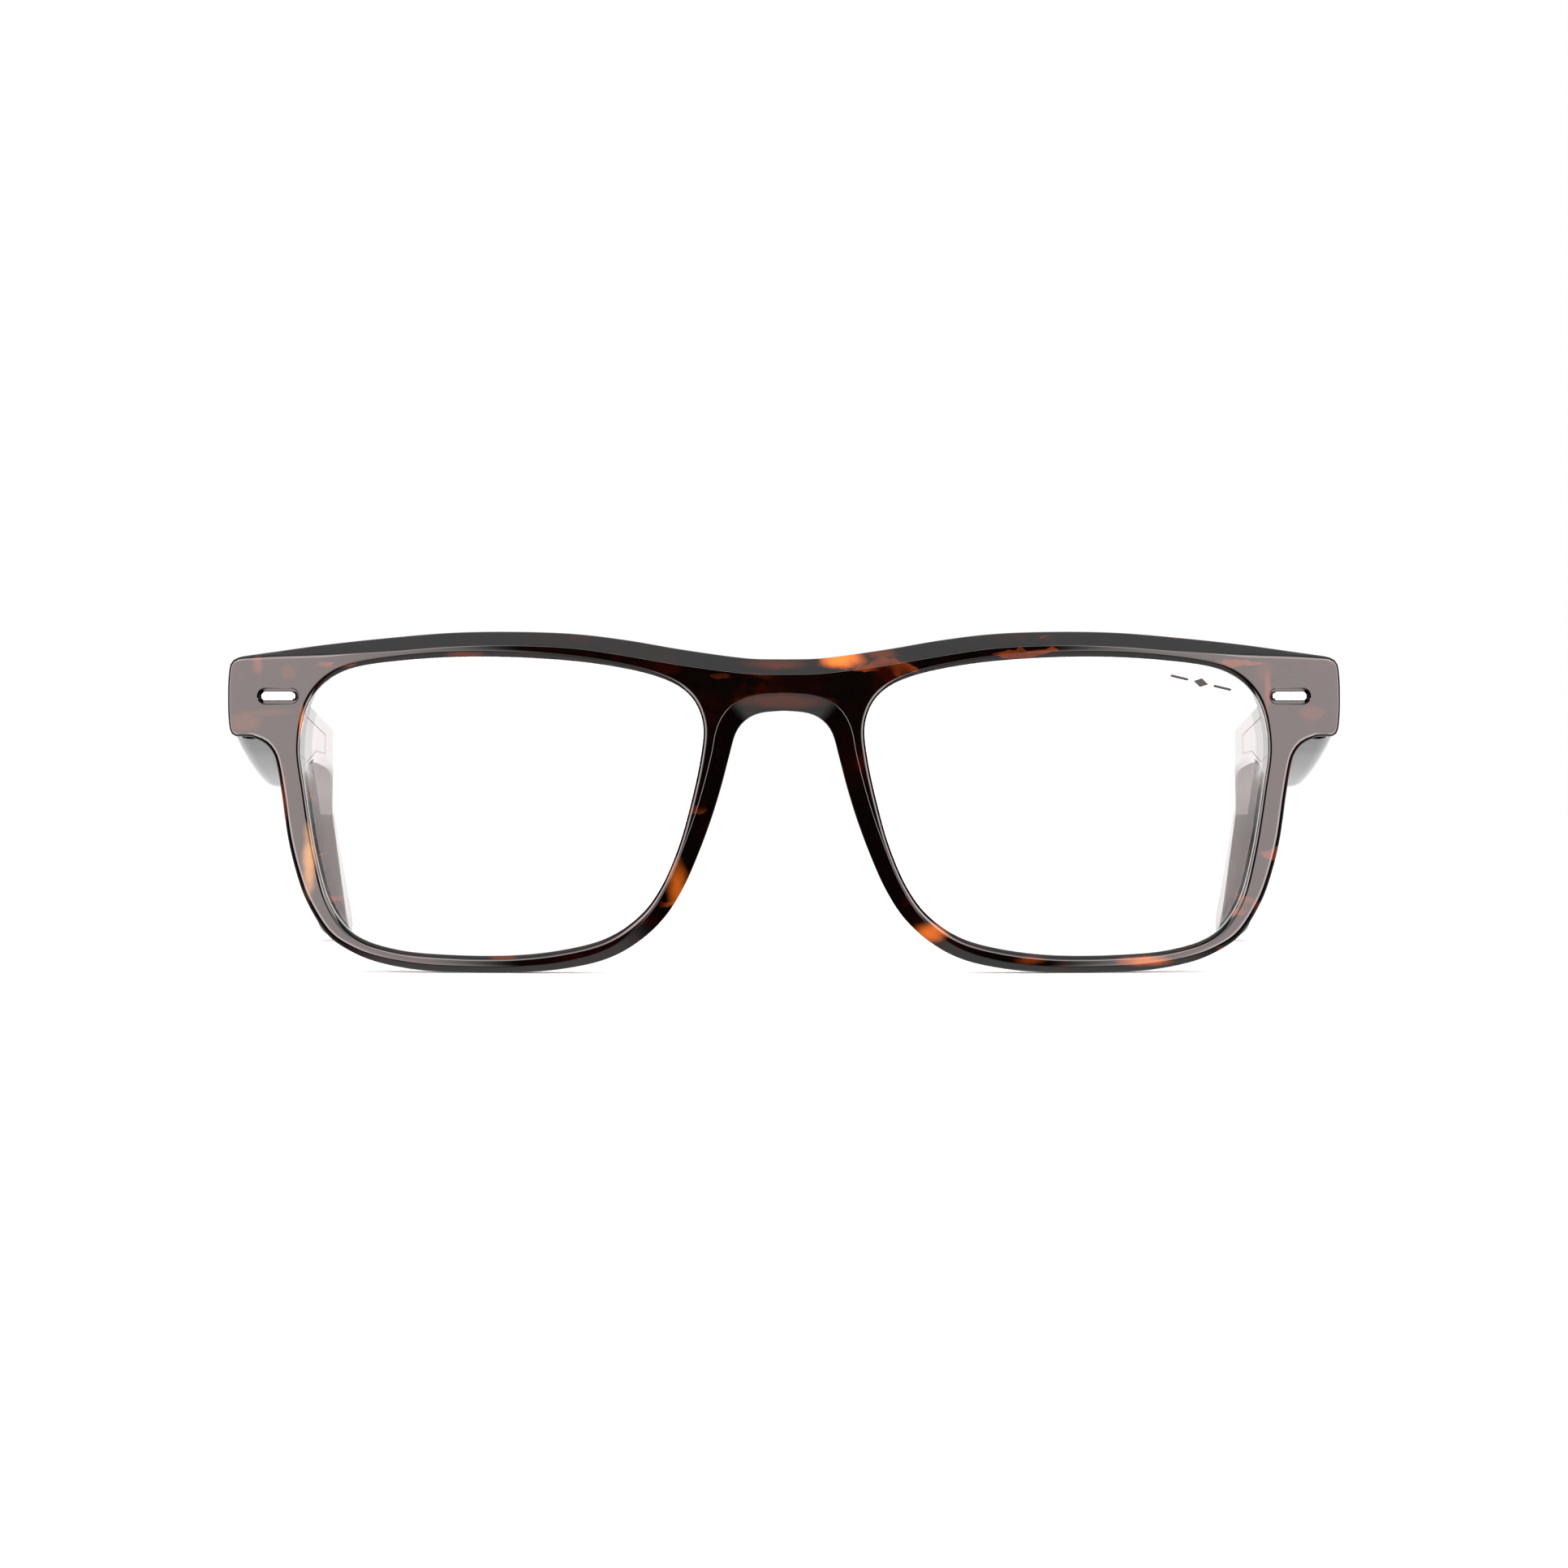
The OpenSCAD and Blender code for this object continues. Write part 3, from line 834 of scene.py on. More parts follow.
@dataclass(frozen=True)
class LensGlass:
    """The clear lens, with a coating that makes it reflect less."""

    name: str
    ior: float = 1.395
    scale: float = 60.0
    shade: tuple[float, float] = (0.975, 0.99)

    def make(self) -> bpy.types.Material:
        """The lens as a material.

        Returns:
            The new material.
        """
        material, nodes, shader, place = start_material(self.name)
        polish = nodes.group("polish", {"Place": place, "Scale": self.scale})
        low, high = self.shade
        shade = nodes.add("MapRange", {"Value": polish.outputs["Shade"], "To Min": low, "To Max": high})
        nodes.tree.links.new(shade.outputs[0], shader.inputs["Base Color"])
        shader.inputs["Transmission Weight"].default_value = 1.0
        shader.inputs["Roughness"].default_value = 0.0
        shader.inputs["IOR"].default_value = self.ior
        return material


FRONT_PATCHES = (
    Patch((7.3, 0.5, 40.4), (2.3, 4, 0.95), Tone.ORANGE, 0.95, 0.7),
    Patch((-1.0, 0.3, 39.7), (3.2, 3, 0.6), Tone.AMBER, 0.35, 0.7),
    Patch((12.6, 0.6, 41.0), (1.6, 3, 0.6), Tone.AMBER, 0.5, 0.7),
    Patch((-13.6, 0.6, 11.0), (0.9, 4, 2.6), Tone.ORANGE, 0.35, 0.8),
    Patch((18.6, 1.0, 5.2), (1.6, 4, 0.9), Tone.ORANGE, 0.6, 0.8),
    Patch((46.5, 4.5, 1.5), (2.8, 4, 0.5), Tone.ORANGE, 0.4, 0.8),
    Patch((-61.5, 8.2, 14.6), (0.7, 4, 3.4), Tone.HONEY, 0.7, 0.7),
    Patch((-64.8, 8.7, 22.0), (0.35, 4, 3.0), Tone.AMBER, 0.5, 0.7),
    Patch((-40.8, 3.5, 41.0), (2.2, 3, 0.3), Tone.AMBER, 0.5, 0.6),
    Patch((9.7, 0.3, 26.8), (0.7, 3, 1.0), Tone.RED, 0.9, 0.5),
    Patch((-62.4, 8.3, 31.5), (0.3, 4, 2.1), Tone.ORANGE, 0.4, 0.6),
    Patch((62.6, 8.3, 36.2), (0.4, 4, 2.1), Tone.AMBER, 0.6, 0.6),
    Patch((-68.3, 9.8, 39.8), (0.6, 3, 1.0), Tone.AMBER, 0.5, 0.6),
    Patch((-64.2, 8.8, 38.9), (0.9, 3, 0.8), Tone.AMBER, 0.2, 0.4),
    Patch((-70.2, 10.4, 32.4), (1.9, 3, 1.3), Tone.AMBER, 0.3, 0.4),
    Patch((-66.6, 9.5, 33.6), (2.6, 3, 0.4), Tone.AMBER, 0.2, 0.5),
    Patch((62.2, 8.3, 38.8), (1.0, 3, 1.2), Tone.AMBER, 0.2, 0.6),
    Patch((68.4, 10.0, 33.6), (1.5, 3, 0.8), Tone.AMBER, 0.25, 0.4),
    Patch((-36.0, 3.0, 2.0), (1.6, 3, 0.3), Tone.AMBER, 0.5, 0.6),
    Patch((31.5, 2.4, 1.7), (1.6, 3, 0.5), Tone.AMBER, 0.5, 0.6),
    Patch((0.0, 1.2, 34.9), (5.0, 3, 0.8), Tone.AMBER, 0.3, 0.5),
)


class Finishes:
    """All the materials, made once and dressed onto pieces by name."""

    def __init__(self) -> None:
        """Makes the shared groups and every finish."""
        tortoise_group()
        patch_group()
        smudge_group()
        plans = [
            Acetate("front_acetate", amount=0.015, clouds=0.4, patches=FRONT_PATCHES),
            LensGlass("lens_clear"),
            Finish("dark_button", colour(24, 16, 14), 0.2, spread=0.08, bump=0.00001),
            Finish("plaque_steel", colour(238, 238, 240), 0.08, metallic=1.0, spread=0.03),
            Finish("etched", colour(46, 43, 42), 0.75, spread=0.1),
            # Near-black painted shade for the pocket walls and floors round the plaques and under the temple covers,
            # in place of the acetate
            Finish("recess_dark", colour(9, 5, 4), 0.45),
            Finish("hinge_steel", colour(214, 190, 150), 0.26, metallic=1.0, spread=0.1, bump=0.00002,
                   scale=900.0),
            Finish("screw_steel", colour(190, 190, 195), 0.22, metallic=1.0, spread=0.1),
            Finish("board_green", colour(18, 74, 48), 0.4, bump=0.00002),
            Finish("chip_black", colour(22, 22, 24), 0.45, spread=0.1, bump=0.00001),
            Finish("foil", colour(196, 198, 202), 0.3, metallic=1.0, bump=0.00003),
            Finish("dark_nickel", colour(36, 30, 28), 0.42, metallic=0.8),
            Finish("core_dark", colour(20, 15, 13), 0.35),
            Finish("smoke_lamp", colour(34, 28, 26), 0.18),
            Finish("floor", colour(250, 250, 250), 0.9, spread=0.02),
        ]
        self.made = {plan.name: plan.make() for plan in plans}

    def add(self, plan: Acetate) -> None:
        """Makes one more finish."""
        self.made[plan.name] = plan.make()

    def dress(self, piece: bpy.types.Object, *names: str) -> None:
        """Gives a piece its finishes, one for each of its material slots.

        Args:
            piece: The piece.
            *names: The finishes' names, in the order of the slots.
        """
        piece.data.materials.clear()
        for name in names:
            piece.data.materials.append(self.made[name])


# ---------------------------------------------------------------- the object's parts


@dataclass
class Hinge:
    """Where a temple turns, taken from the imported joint."""

    side: Side
    place: np.ndarray
    axis: np.ndarray

    @staticmethod
    def from_joint(side: Side, joints: Sequence[dict]) -> "Hinge":
        """Reads the hinge of one side from the frame's joints.

        Args:
            side: Which temple.
            joints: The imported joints.

        Returns:
            The hinge, with its axis turned upwards.
        """
        joint = next(j for j in joints if j["name"] == f"{side.word}_temple_fold")
        axis = np.array(joint["axis"], float)
        return Hinge(side, np.array(joint["pos_m"]) / MM, axis * np.sign(axis[2]))

    @property
    def tilt(self) -> float:
        """The lean of the axis, in radians."""
        return math.atan2(self.axis[1], self.axis[2])


@dataclass
class SubAssembly:
    """A part of the glasses that is placed by a hinge.

    Attributes:
        hinge: The hinge that it is placed by.
        finishes: The materials.
    """

    hinge: Hinge
    finishes: Finishes


# Half outlines: X from the centre line, Z, and the width of the facet at the front edge
BROW = [(0, 40.3, 1.95), (5, 40.45, 1.95), (13, 41.55, 2.0), (20, 42.75, 2.0), (27, 43.6, 1.85),
        (35, 43.9, 1.8), (43, 43.8, 1.85), (51, 43.2, 1.8), (59, 42.4, 1.4), (65.5, 41.55, 0.75), (70.4, 40.9, 0.35)]
END = [(71.4, 40.6, 0.26), (72.0, 39.8, 0.2), (72.25, 37.8, 0.18), (72.3, 35.6, 0.18), (72.25, 33.2, 0.18),
       (72.0, 31.2, 0.2), (71.4, 30.5, 0.26)]
RIM = [(69.2, 30.45, 0.35), (67.4, 29.6, 0.4), (66.3, 28.3, 0.4), (65.75, 26.6, 0.4), (65.1, 22.8, 0.42),
       (64.3, 17.2, 0.45), (63.1, 12.4, 0.5), (61.7, 8.8, 0.55), (59.2, 4.9, 0.65), (56.2, 2.75, 0.8),
       (52.4, 1.25, 0.9), (47, 0.3, 0.9), (41, 0, 0.9), (34, 0.05, 0.9), (28, 0.6, 1.0), (22.7, 1.85, 1.25),
       (18.6, 4.1, 1.55), (15.3, 7.2, 1.85), (12.9, 11, 2.0), (11, 15.3, 2.1), (9.4, 19.6, 2.15),
       (8.1, 23.8, 2.2), (7.1, 27.6, 2.25), (6.2, 30.8, 2.5), (4.9, 32.5, 2.6), (3, 33.4, 2.4), (0, 33.7, 2.3)]
LENS = [(62.7, 28.3, 0.3), (62.4, 32, 0.32), (61.3, 35.2, 0.4), (59.0, 37.75, 0.5), (55.5, 39.35, 0.6),
        (49.5, 40.2, 0.7), (41.7, 40.65, 0.75), (33, 40.5, 0.7), (24, 39.7, 0.6), (16.4, 38.1, 0.45),
        (12.2, 35.8, 0.36), (10.4, 32.1, 0.32), (10.7, 27.5, 0.32), (12.1, 21.1, 0.32), (13.7, 15.7, 0.32),
        (15.9, 10.8, 0.34), (18.6, 7.3, 0.4), (22.6, 4.6, 0.45), (27.9, 3.1, 0.45), (34.6, 2.3, 0.45),
        (42.6, 2.3, 0.45), (49.9, 2.95, 0.45), (55.5, 4.9, 0.42), (58.8, 9, 0.36), (60.7, 15.6, 0.32),
        (62.1, 24, 0.3)]
NOSE_HEIGHTS = (7.2, 11, 15.3, 19.6, 23.8, 27.6, 30.8)
NOSE_WIDTHS = (15.3, 12.9, 11, 9.4, 8.1, 7.1, 6.2)
MARK_EDGE, MARK_PROUD, MARK_SUNK = 0.005, 0.02, 0.01


def pill(centre: tuple[float, float], length: float, height: float, width: float) -> Loop:
    """A pill-shaped loop with one edge width.

    Args:
        centre: Its middle.
        length: Its whole length.
        height: Its height.
        width: The width of its edge.

    Returns:
        The loop.
    """
    r, straight = height / 2, (length - height) / 2
    turn = np.linspace(-math.pi / 2, math.pi / 2, 13)
    right = np.column_stack([centre[0] + straight + r * np.cos(turn), centre[1] + r * np.sin(turn)])
    left = np.column_stack([centre[0] - straight - r * np.cos(turn), centre[1] - r * np.sin(turn)])
    loop = np.vstack([right, left])
    return np.column_stack([loop, np.full(len(loop), width)])


@dataclass
class Front(SubAssembly):
    """The curved acetate front with its lenses and plaques. Sizes are in millimetres."""

    radius: float = 240.0
    thickness: float = 4.4
    lens_thickness: float = 2.0
    lens_seat: float = 0.45
    pad_reach: float = 5.2
    pad_width: tuple[float, float] = (6.4, 3.4)
    pad_foot: tuple[float, float] = (11.8, 15.5)
    pad_head: tuple[float, float] = (29.4, 25.5)
    pad_middle: float = 20.5
    pad_half: float = 14.5
    pad_dome: float = 1.2
    pad_limit: float = 20.0
    end_inner: tuple[float, float] = (60.4, 62.0)
    end_low: tuple[float, float] = (28.2, 30.1)
    butt_lead: float = 5.35
    plaque_at: tuple[float, float] = (65.6, 35.7)
    plaque_length: float = 4.7
    plaque_height: float = 1.3
    plaque_gap: float = 0.33
    recess_depth: float = 0.75
    plaque_sunk: float = 0.12
    plaque_round: float = 0.26
    mark_at: tuple[float, float] = (53.9, 37.4)
    mark_turn: float = -13.0
    dash_at: float = 2.9
    dash_size: tuple[float, float] = (2.4, 0.34)
    lozenge_half: tuple[float, float] = (1.0, 0.6)

    def settle(self, piece: bpy.types.Object, node: str, slot: str) -> None:
        """Puts a piece on the front body in place of its CAD node.

        Args:
            piece: The finished piece.
            node: The CAD node that it replaces.
            slot: The record's material slot that its finish belongs to; not used.
        """
        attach(piece, "front")
        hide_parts(node)
        log.info("built %s for %s", piece.name, node)

    def shell(self, x: np.ndarray, depth: np.ndarray | float) -> np.ndarray:
        """Y of the curved shell at a depth behind the front face."""
        return self.radius - np.sqrt((self.radius - depth) ** 2 - x**2)

    @property
    def lens_start(self) -> float:
        """Depth of the lens's front face behind the front's."""
        return (self.thickness - self.lens_thickness) / 2

    def on_shell(self, front: float, back: float, share: float = 1.0) -> Place:
        """A placing function for a thin piece that follows the front's curve.

        Args:
            front: Depth of the piece's front face behind the front's.
            back: Depth of its back face.
            share: How much of its back edge's rounding is kept.

        Returns:
            The placing function.
        """

        def place(flat: np.ndarray, depth: np.ndarray, at_back: bool) -> np.ndarray:
            """Bends flat points of the piece onto the curve at their depth."""
            at = back - depth * share if at_back else front + depth
            return np.column_stack([flat[:, 0], self.shell(flat[:, 0], at), flat[:, 1]])

        return place

    def back(self, x: np.ndarray, z: np.ndarray) -> np.ndarray:
        """The back surface, with the endpiece blocks and the nose pads.

        Args:
            x: Distance from the centre line.
            z: Height.

        Returns:
            Y of the back surface.
        """
        away = np.abs(x)
        shell = self.shell(x, self.thickness)
        tilt = self.hinge.tilt
        lift = (z - self.hinge.place[2] - self.butt_lead * math.sin(tilt)) / math.cos(tilt)
        plane = self.hinge.place[1] - self.butt_lead * math.cos(tilt) + lift * math.sin(tilt)
        block = soft_step(*self.end_inner, away) * soft_step(*self.end_low, z)
        from_nose = away - np.interp(z, NOSE_HEIGHTS, NOSE_WIDTHS)
        pad = (soft_step(*self.pad_width, from_nose) * soft_step(*self.pad_foot, z)
               * soft_step(*self.pad_head, z))
        dome = 1 - ((z - self.pad_middle) / self.pad_half) ** 2 * self.pad_dome
        inner = away < self.pad_limit
        return shell * (1 - block) + plane * block + self.pad_reach * pad * dome * inner

    def place(self, flat: np.ndarray, depth: np.ndarray, back: bool) -> np.ndarray:
        """Bends flat points onto the front.

        Args:
            flat: Rows of X and Z.
            depth: Depth of each one behind its face.
            back: True if the depth counts from the back face.

        Returns:
            Their places.
        """
        x, z = flat[:, 0], flat[:, 1]
        y = self.back(x, z) - depth if back else self.shell(x, depth)
        return np.column_stack([x, y, z])

    def outline(self) -> Loop:
        """Joins the half outlines and mirrors them.

        Returns:
            The outline with facet widths.
        """
        half = np.vstack([spread(BROW, False, 8), spread(END, False, 8), spread(RIM, False, 8)])
        mirrored = half[::-1] * (-1, 1, 1)
        return evenly(np.vstack([half, mirrored[1:-1]]), 0.7)

    def lens_loop(self, side: Side) -> Loop:
        """The lens opening of one side, with the width of its bevel."""
        return evenly(spread(LENS, True, 10), 0.6) * (side.value, 1, 1)

    def build(self) -> None:
        """Builds and dresses the front's pieces."""
        openings = []
        for side in Side:
            openings.append(Opening(self.lens_loop(side)))
            centre = (side.value * self.plaque_at[0], self.plaque_at[1])
            openings.append(Opening(pill(centre, self.plaque_length + 2 * self.plaque_gap,
                                         self.plaque_height + 2 * self.plaque_gap, 0.12), self.recess_depth))
        slab = Slab("front_body", self.outline(), self.place, Edge(crisp=0.75), openings,
                    hole_edge=Edge(fillet=0.28, back=0.35), grid=1.6)
        body = slab.build()
        # The plaque recesses take the second finish, a near-black painted shade round the plaques
        self.finishes.dress(body, "front_acetate", "recess_dark")
        self.settle(body, "front_frame", "acetate")
        for side in Side:
            self.lens(side)
            self.plaque(side)
        self.mark()

    def lens(self, side: Side) -> None:
        """Builds one lens.

        Args:
            side: Which side it is on.
        """
        loop = turned_left(self.lens_loop(side))
        loop[:, 2] = 0.2
        loop[:, :2] -= normals(loop) * self.lens_seat
        place = self.on_shell(self.lens_start, self.lens_start + self.lens_thickness)
        piece = rounded_plate(f"lens_blank_{side.word}", loop, place, back=0.2, grid=1.6, slope=0.8)
        self.finishes.dress(piece, "lens_clear")
        self.settle(piece, f"lens_{side.word}", "lens")

    def mark(self) -> None:
        """Builds the small etched mark on the left lens, a lozenge between two dashes."""
        turn = math.radians(self.mark_turn)
        wide, high = self.lozenge_half
        lozenge = subdivided(np.array([(-wide, 0), (0, -high), (wide, 0), (0, high)]), 0.4)
        lozenge = np.column_stack([lozenge, np.full(len(lozenge), MARK_EDGE)])
        place = self.on_shell(self.lens_start - MARK_PROUD, self.lens_start + MARK_SUNK)
        loops = {"dash_inner": pill((-self.dash_at, 0), *self.dash_size, MARK_EDGE), "lozenge": lozenge,
                 "dash_outer": pill((self.dash_at, 0), *self.dash_size, MARK_EDGE)}
        for name, loop in loops.items():
            flat = loop.copy()
            flat[:, 0] = self.mark_at[0] + loop[:, 0] * math.cos(turn) - loop[:, 1] * math.sin(turn)
            flat[:, 1] = self.mark_at[1] + loop[:, 0] * math.sin(turn) + loop[:, 1] * math.cos(turn)
            piece = rounded_plate(f"lens_mark_{name}", flat, place, back=0.002, grid=0.5)
            self.finishes.dress(piece, "etched")
            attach(piece, "front")
            log.info("built %s", piece.name)

    def plaque(self, side: Side) -> None:
        """Builds one pill-shaped plaque, pillowed and polished.

        Args:
            side: Which side it is on.
        """
        centre = (side.value * self.plaque_at[0], self.plaque_at[1])
        loop = pill(centre, self.plaque_length, self.plaque_height, self.plaque_round)
        place = self.on_shell(self.plaque_sunk, self.recess_depth, 0.2)
        piece = rounded_plate(f"plaque_pill_{side.word}", loop, place, back=0.1, grid=0.5)
        self.finishes.dress(piece, "plaque_steel")
        self.settle(piece, f"plaque_{side.word}", "plaque")


# Outlines of a temple: back from its butt, up from its top edge, and the width of the facet along the edge
TEMPLE_LOW = [(0, -9.9, 0.35), (4, -10.5, 0.7), (10.2, -11.3, 1.1), (21, -12.3, 1.2), (32, -12.95, 1.2),
              (42, -13.1, 1.2), (51, -11.7, 1.2), (61, -9.2, 1.1), (71.5, -7.5, 1.0), (84, -6.8, 0.8),
              (96, -6.8, 0.5), (103.5, -8.6, 0.4), (110, -13.1, 0.4), (118, -20.6, 0.4), (125.5, -27.2, 0.5)]
TEMPLE_TIP = [(125.5, -27.2, 0.5), (130.5, -29.4, 0.6), (135.5, -29.4, 0.75), (138.9, -28.1, 0.85),
              (139.5, -26.3, 0.9), (137.2, -24.1, 0.9)]
TEMPLE_TOP = [(137.2, -24.1, 0.9), (127, -18.1, 0.9), (118.9, -12.5, 0.9), (111, -5.6, 0.9), (105, -1.4, 0.8),
              (98.9, 0, 0.5)]
TEMPLE_RIDGE = [(98.9, 0, 0.5), (60, 0, 0.35), (20, 0, 0.35), (5, 0, 0.35), (0, 0, 0.3)]
EAR_LOW = [(84, -6.8, 0), (96, -6.8, 0), (103.5, -8.6, 0), (110, -13.1, 0), (118, -20.6, 0), (125.5, -27.2, 0),
           (130.5, -29.4, 0), (135, -30, 0), (142, -30, 0)]
COVER = [(15.0, -2.3), (84.3, -2.3), (84.7, -2.42), (84.95, -2.7), (85, -3.1), (85, -4.4), (84.8, -4.9),
         (84.4, -5.2), (70, -5.9), (56.6, -8.5), (56, -8.6), (15, -8.6), (14.6, -8.42), (14.4, -8), (14.4, -2.9),
         (14.6, -2.45)]


# Along, up, half length, half height, tone and strength of each patch on the inner face
TEMPLE_PATCHES = {
    Side.RIGHT: ((35.7, -0.8, 1.0, 1.1, Tone.HONEY, 0.5), (32.4, -7.0, 1.0, 0.9, Tone.AMBER, 0.9),
                 (23.0, -4.5, 1.8, 0.9, Tone.AMBER, 0.45), (29.4, -4.4, 0.7, 0.5, Tone.AMBER, 0.5),
                 (40.0, -10.1, 1.6, 0.5, Tone.HONEY, 0.3), (52.8, -3.0, 1.7, 0.8, Tone.AMBER, 0.8),
                 (45.0, -11.2, 9, 1.3, Tone.RED, 0.8), (37.6, -8.6, 0.6, 0.8, Tone.AMBER, 0.6),
                 (130.0, -24.0, 2.2, 1.4, Tone.AMBER, 0.35)),
    Side.LEFT: ((43.0, -2.6, 0.8, 1.2, Tone.HONEY, 0.4), (31.4, -7.0, 1.0, 0.8, Tone.AMBER, 0.75),
                (34.3, -8.6, 1.2, 0.5, Tone.AMBER, 0.3), (50.0, -11.0, 5, 1.2, Tone.RED, 0.8),
                (56.0, -9.0, 2.2, 1.0, Tone.AMBER, 0.5), (138.6, -25.9, 1.0, 1.9, Tone.HONEY, 0.8),
                (129.0, -22.5, 1.6, 1.1, Tone.AMBER, 0.35)),
}


# The same for the outer face, alike on both temples
OUTER_PATCHES = ((9.0, -5.5, 4.5, 2.2, Tone.AMBER, 0.55), (28.0, -3.0, 4.0, 1.6, Tone.AMBER, 0.7),
                 (33.0, -9.5, 5.0, 1.5, Tone.ORANGE, 0.3), (51.0, -6.5, 5.5, 2.4, Tone.AMBER, 0.65),
                 (72.0, -2.5, 3.5, 1.2, Tone.ORANGE, 0.3), (84.0, -5.0, 4.5, 1.4, Tone.AMBER, 0.55),
                 (106.0, -6.0, 3.5, 3.0, Tone.AMBER, 0.6), (127.5, -22.0, 4.0, 3.0, Tone.AMBER, 0.65))


@dataclass
class Temple(SubAssembly):
    """One temple's shell and inner cover. Sizes are in millimetres."""

    inner: float = 0.6
    thickness: float = 5.2
    butt_lead: float = 5.2
    top: float = 4.8
    cover: float = 0.9
    cover_sunk: float = 0.03
    seam: float = 0.06
    length: float = 141.0
    drawn_length: float = 139.5
    ear_start: float = 60.0
    ear_run: float = 35.0
    ear_twist: float = 4.5
    ear_crease: float = -12.6
    ear_follow: float = 0.2
    ear_turn: tuple[float, float] = (98.0, 112.0)

    def settle(self, piece: bpy.types.Object, node: str, slot: str) -> None:
        """Puts a piece on this temple in place of its CAD node.

        Args:
            piece: The finished piece.
            node: The CAD node that it replaces.
            slot: The record's material slot that its finish belongs to; not used.
        """
        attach(piece, f"{self.hinge.side.word}_temple")
        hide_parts(node)
        log.info("built %s for %s", piece.name, node)

    def world(self, out: np.ndarray, along: np.ndarray, up: np.ndarray) -> np.ndarray:
        """Turns temple coordinates into places of the open temple.

        Args:
            out: Distance outwards from the hinge's axis.
            along: Distance back from the butt.
            up: Height above the top edge.

        Returns:
            Rows of X, Y and Z.
        """
        tilt = self.hinge.tilt
        y, z = along - self.butt_lead, up + self.top
        x = self.hinge.place[0] + self.hinge.side.value * out
        return np.column_stack([x, self.hinge.place[1] + y * math.cos(tilt) + z * math.sin(tilt),
                                self.hinge.place[2] - y * math.sin(tilt) + z * math.cos(tilt)])

    def stretched(self, loop: np.ndarray) -> np.ndarray:
        """Moves the ear end of a loop out to the temple's own length.

        Args:
            loop: A loop in drawn lengths.

        Returns:
            The loop in real lengths.
        """
        moved = loop.copy()
        share = np.clip((loop[:, 0] - self.ear_start) / self.ear_run, 0, 1)
        moved[:, 0] += (self.length - self.drawn_length) * share
        return moved

    def twist(self, along: np.ndarray, up: np.ndarray) -> np.ndarray:
        """How far the inner face of the ear piece leans back at a place.

        Args:
            along: Distance back from the butt.
            up: Height above the top edge.

        Returns:
            The lean outwards at each place.
        """
        curve = spread(EAR_LOW, False, 12)
        low = np.interp(along - (self.length - self.drawn_length), curve[:, 0], curve[:, 1])
        level = curve[:, 1].min() * (1 - self.ear_follow) + low * self.ear_follow
        lean = math.tan(math.radians(self.ear_twist)) * soft_step(*self.ear_turn, along)
        return lean * np.maximum(0, np.minimum(up, self.ear_crease) - level)

    def placing(self, inner: float, outer: float) -> Place:
        """A placing function for a slab between two distances out from the axis.

        Args:
            inner: The nearer distance, where the slab's front face is.
            outer: The farther one.

        Returns:
            The placing function.
        """

        def place(flat: np.ndarray, depth: np.ndarray, back: bool) -> np.ndarray:
            """Turns flat points of the slab into places of the open temple."""
            out = outer - depth if back else inner + depth + self.twist(flat[:, 0], flat[:, 1])
            return self.world(out, flat[:, 0], flat[:, 1])

        return place

    def cover_loop(self, shrink: float, width: float) -> Loop:
        """The outline of the inner cover.

        Args:
            shrink: How far it is drawn in all round.
            width: The width of its edge.

        Returns:
            The loop.
        """
        loop = turned_left(subdivided(np.array(COVER, float), 1.0))
        loop = np.column_stack([loop, np.full(len(loop), width)])
        loop[:, :2] += normals(loop) * shrink
        return loop

    def build(self) -> None:
        """Builds and dresses the temple's pieces."""
        word = self.hinge.side.word
        outline = np.vstack([spread(TEMPLE_LOW, False, 8)[:-1], spread(TEMPLE_TIP, False, 8)[:-1],
                             spread(TEMPLE_TOP, False, 8)[:-1], spread(TEMPLE_RIDGE, False, 8)])
        outline = evenly(self.stretched(outline), 0.7)
        pocket = Opening(self.cover_loop(0, 0.06), self.cover)
        shell = Slab(f"temple_arm_{word}", outline, self.placing(self.inner, self.inner + self.thickness),
                     Edge(slope=0.75, fillet=0.3, back=2.3), [pocket], grid=2.0).build()
        finish = f"temple_acetate_{word}"
        self.finishes.add(Acetate(finish, shift=(0.031, 0.012 * self.hinge.side.value, 0.023), amount=0.035,
                                  clouds=0.8, patches=self.patches()))
        # The cover's pocket takes the second finish, a near-black painted shade in the seam round the cover
        self.finishes.dress(shell, finish, "recess_dark")
        self.settle(shell, f"temple_shell_{word}", "acetate")
        place = self.placing(self.inner + self.cover_sunk, self.inner + self.cover)
        cover = rounded_plate(f"temple_lid_{word}", self.cover_loop(self.seam, 0.1), place, back=0.1, grid=2.0)
        self.finishes.dress(cover, finish)
        self.settle(cover, f"temple_cover_{word}", "cover")

    def patches(self) -> tuple[Patch, ...]:
        """This temple's own patches of colour, moved from temple coordinates to their places.

        Returns:
            The patches.
        """
        placed = []
        for out, reach_out, softness, uneven, spots in (
                (self.inner + 0.5, 2.5, 0.35, 1.0, TEMPLE_PATCHES[self.hinge.side]),
                (self.inner + self.thickness, 1.6, 0.6, 3.6, OUTER_PATCHES)):
            for along, up, reach_along, reach_up, tone, strength in spots:
                centre = self.world(np.array([out]), np.array([along]), np.array([up]))[0]
                placed.append(Patch(tuple(float(v) for v in centre), (reach_out, reach_along, reach_up), tone,
                                    strength, softness, uneven))
        return tuple(placed)


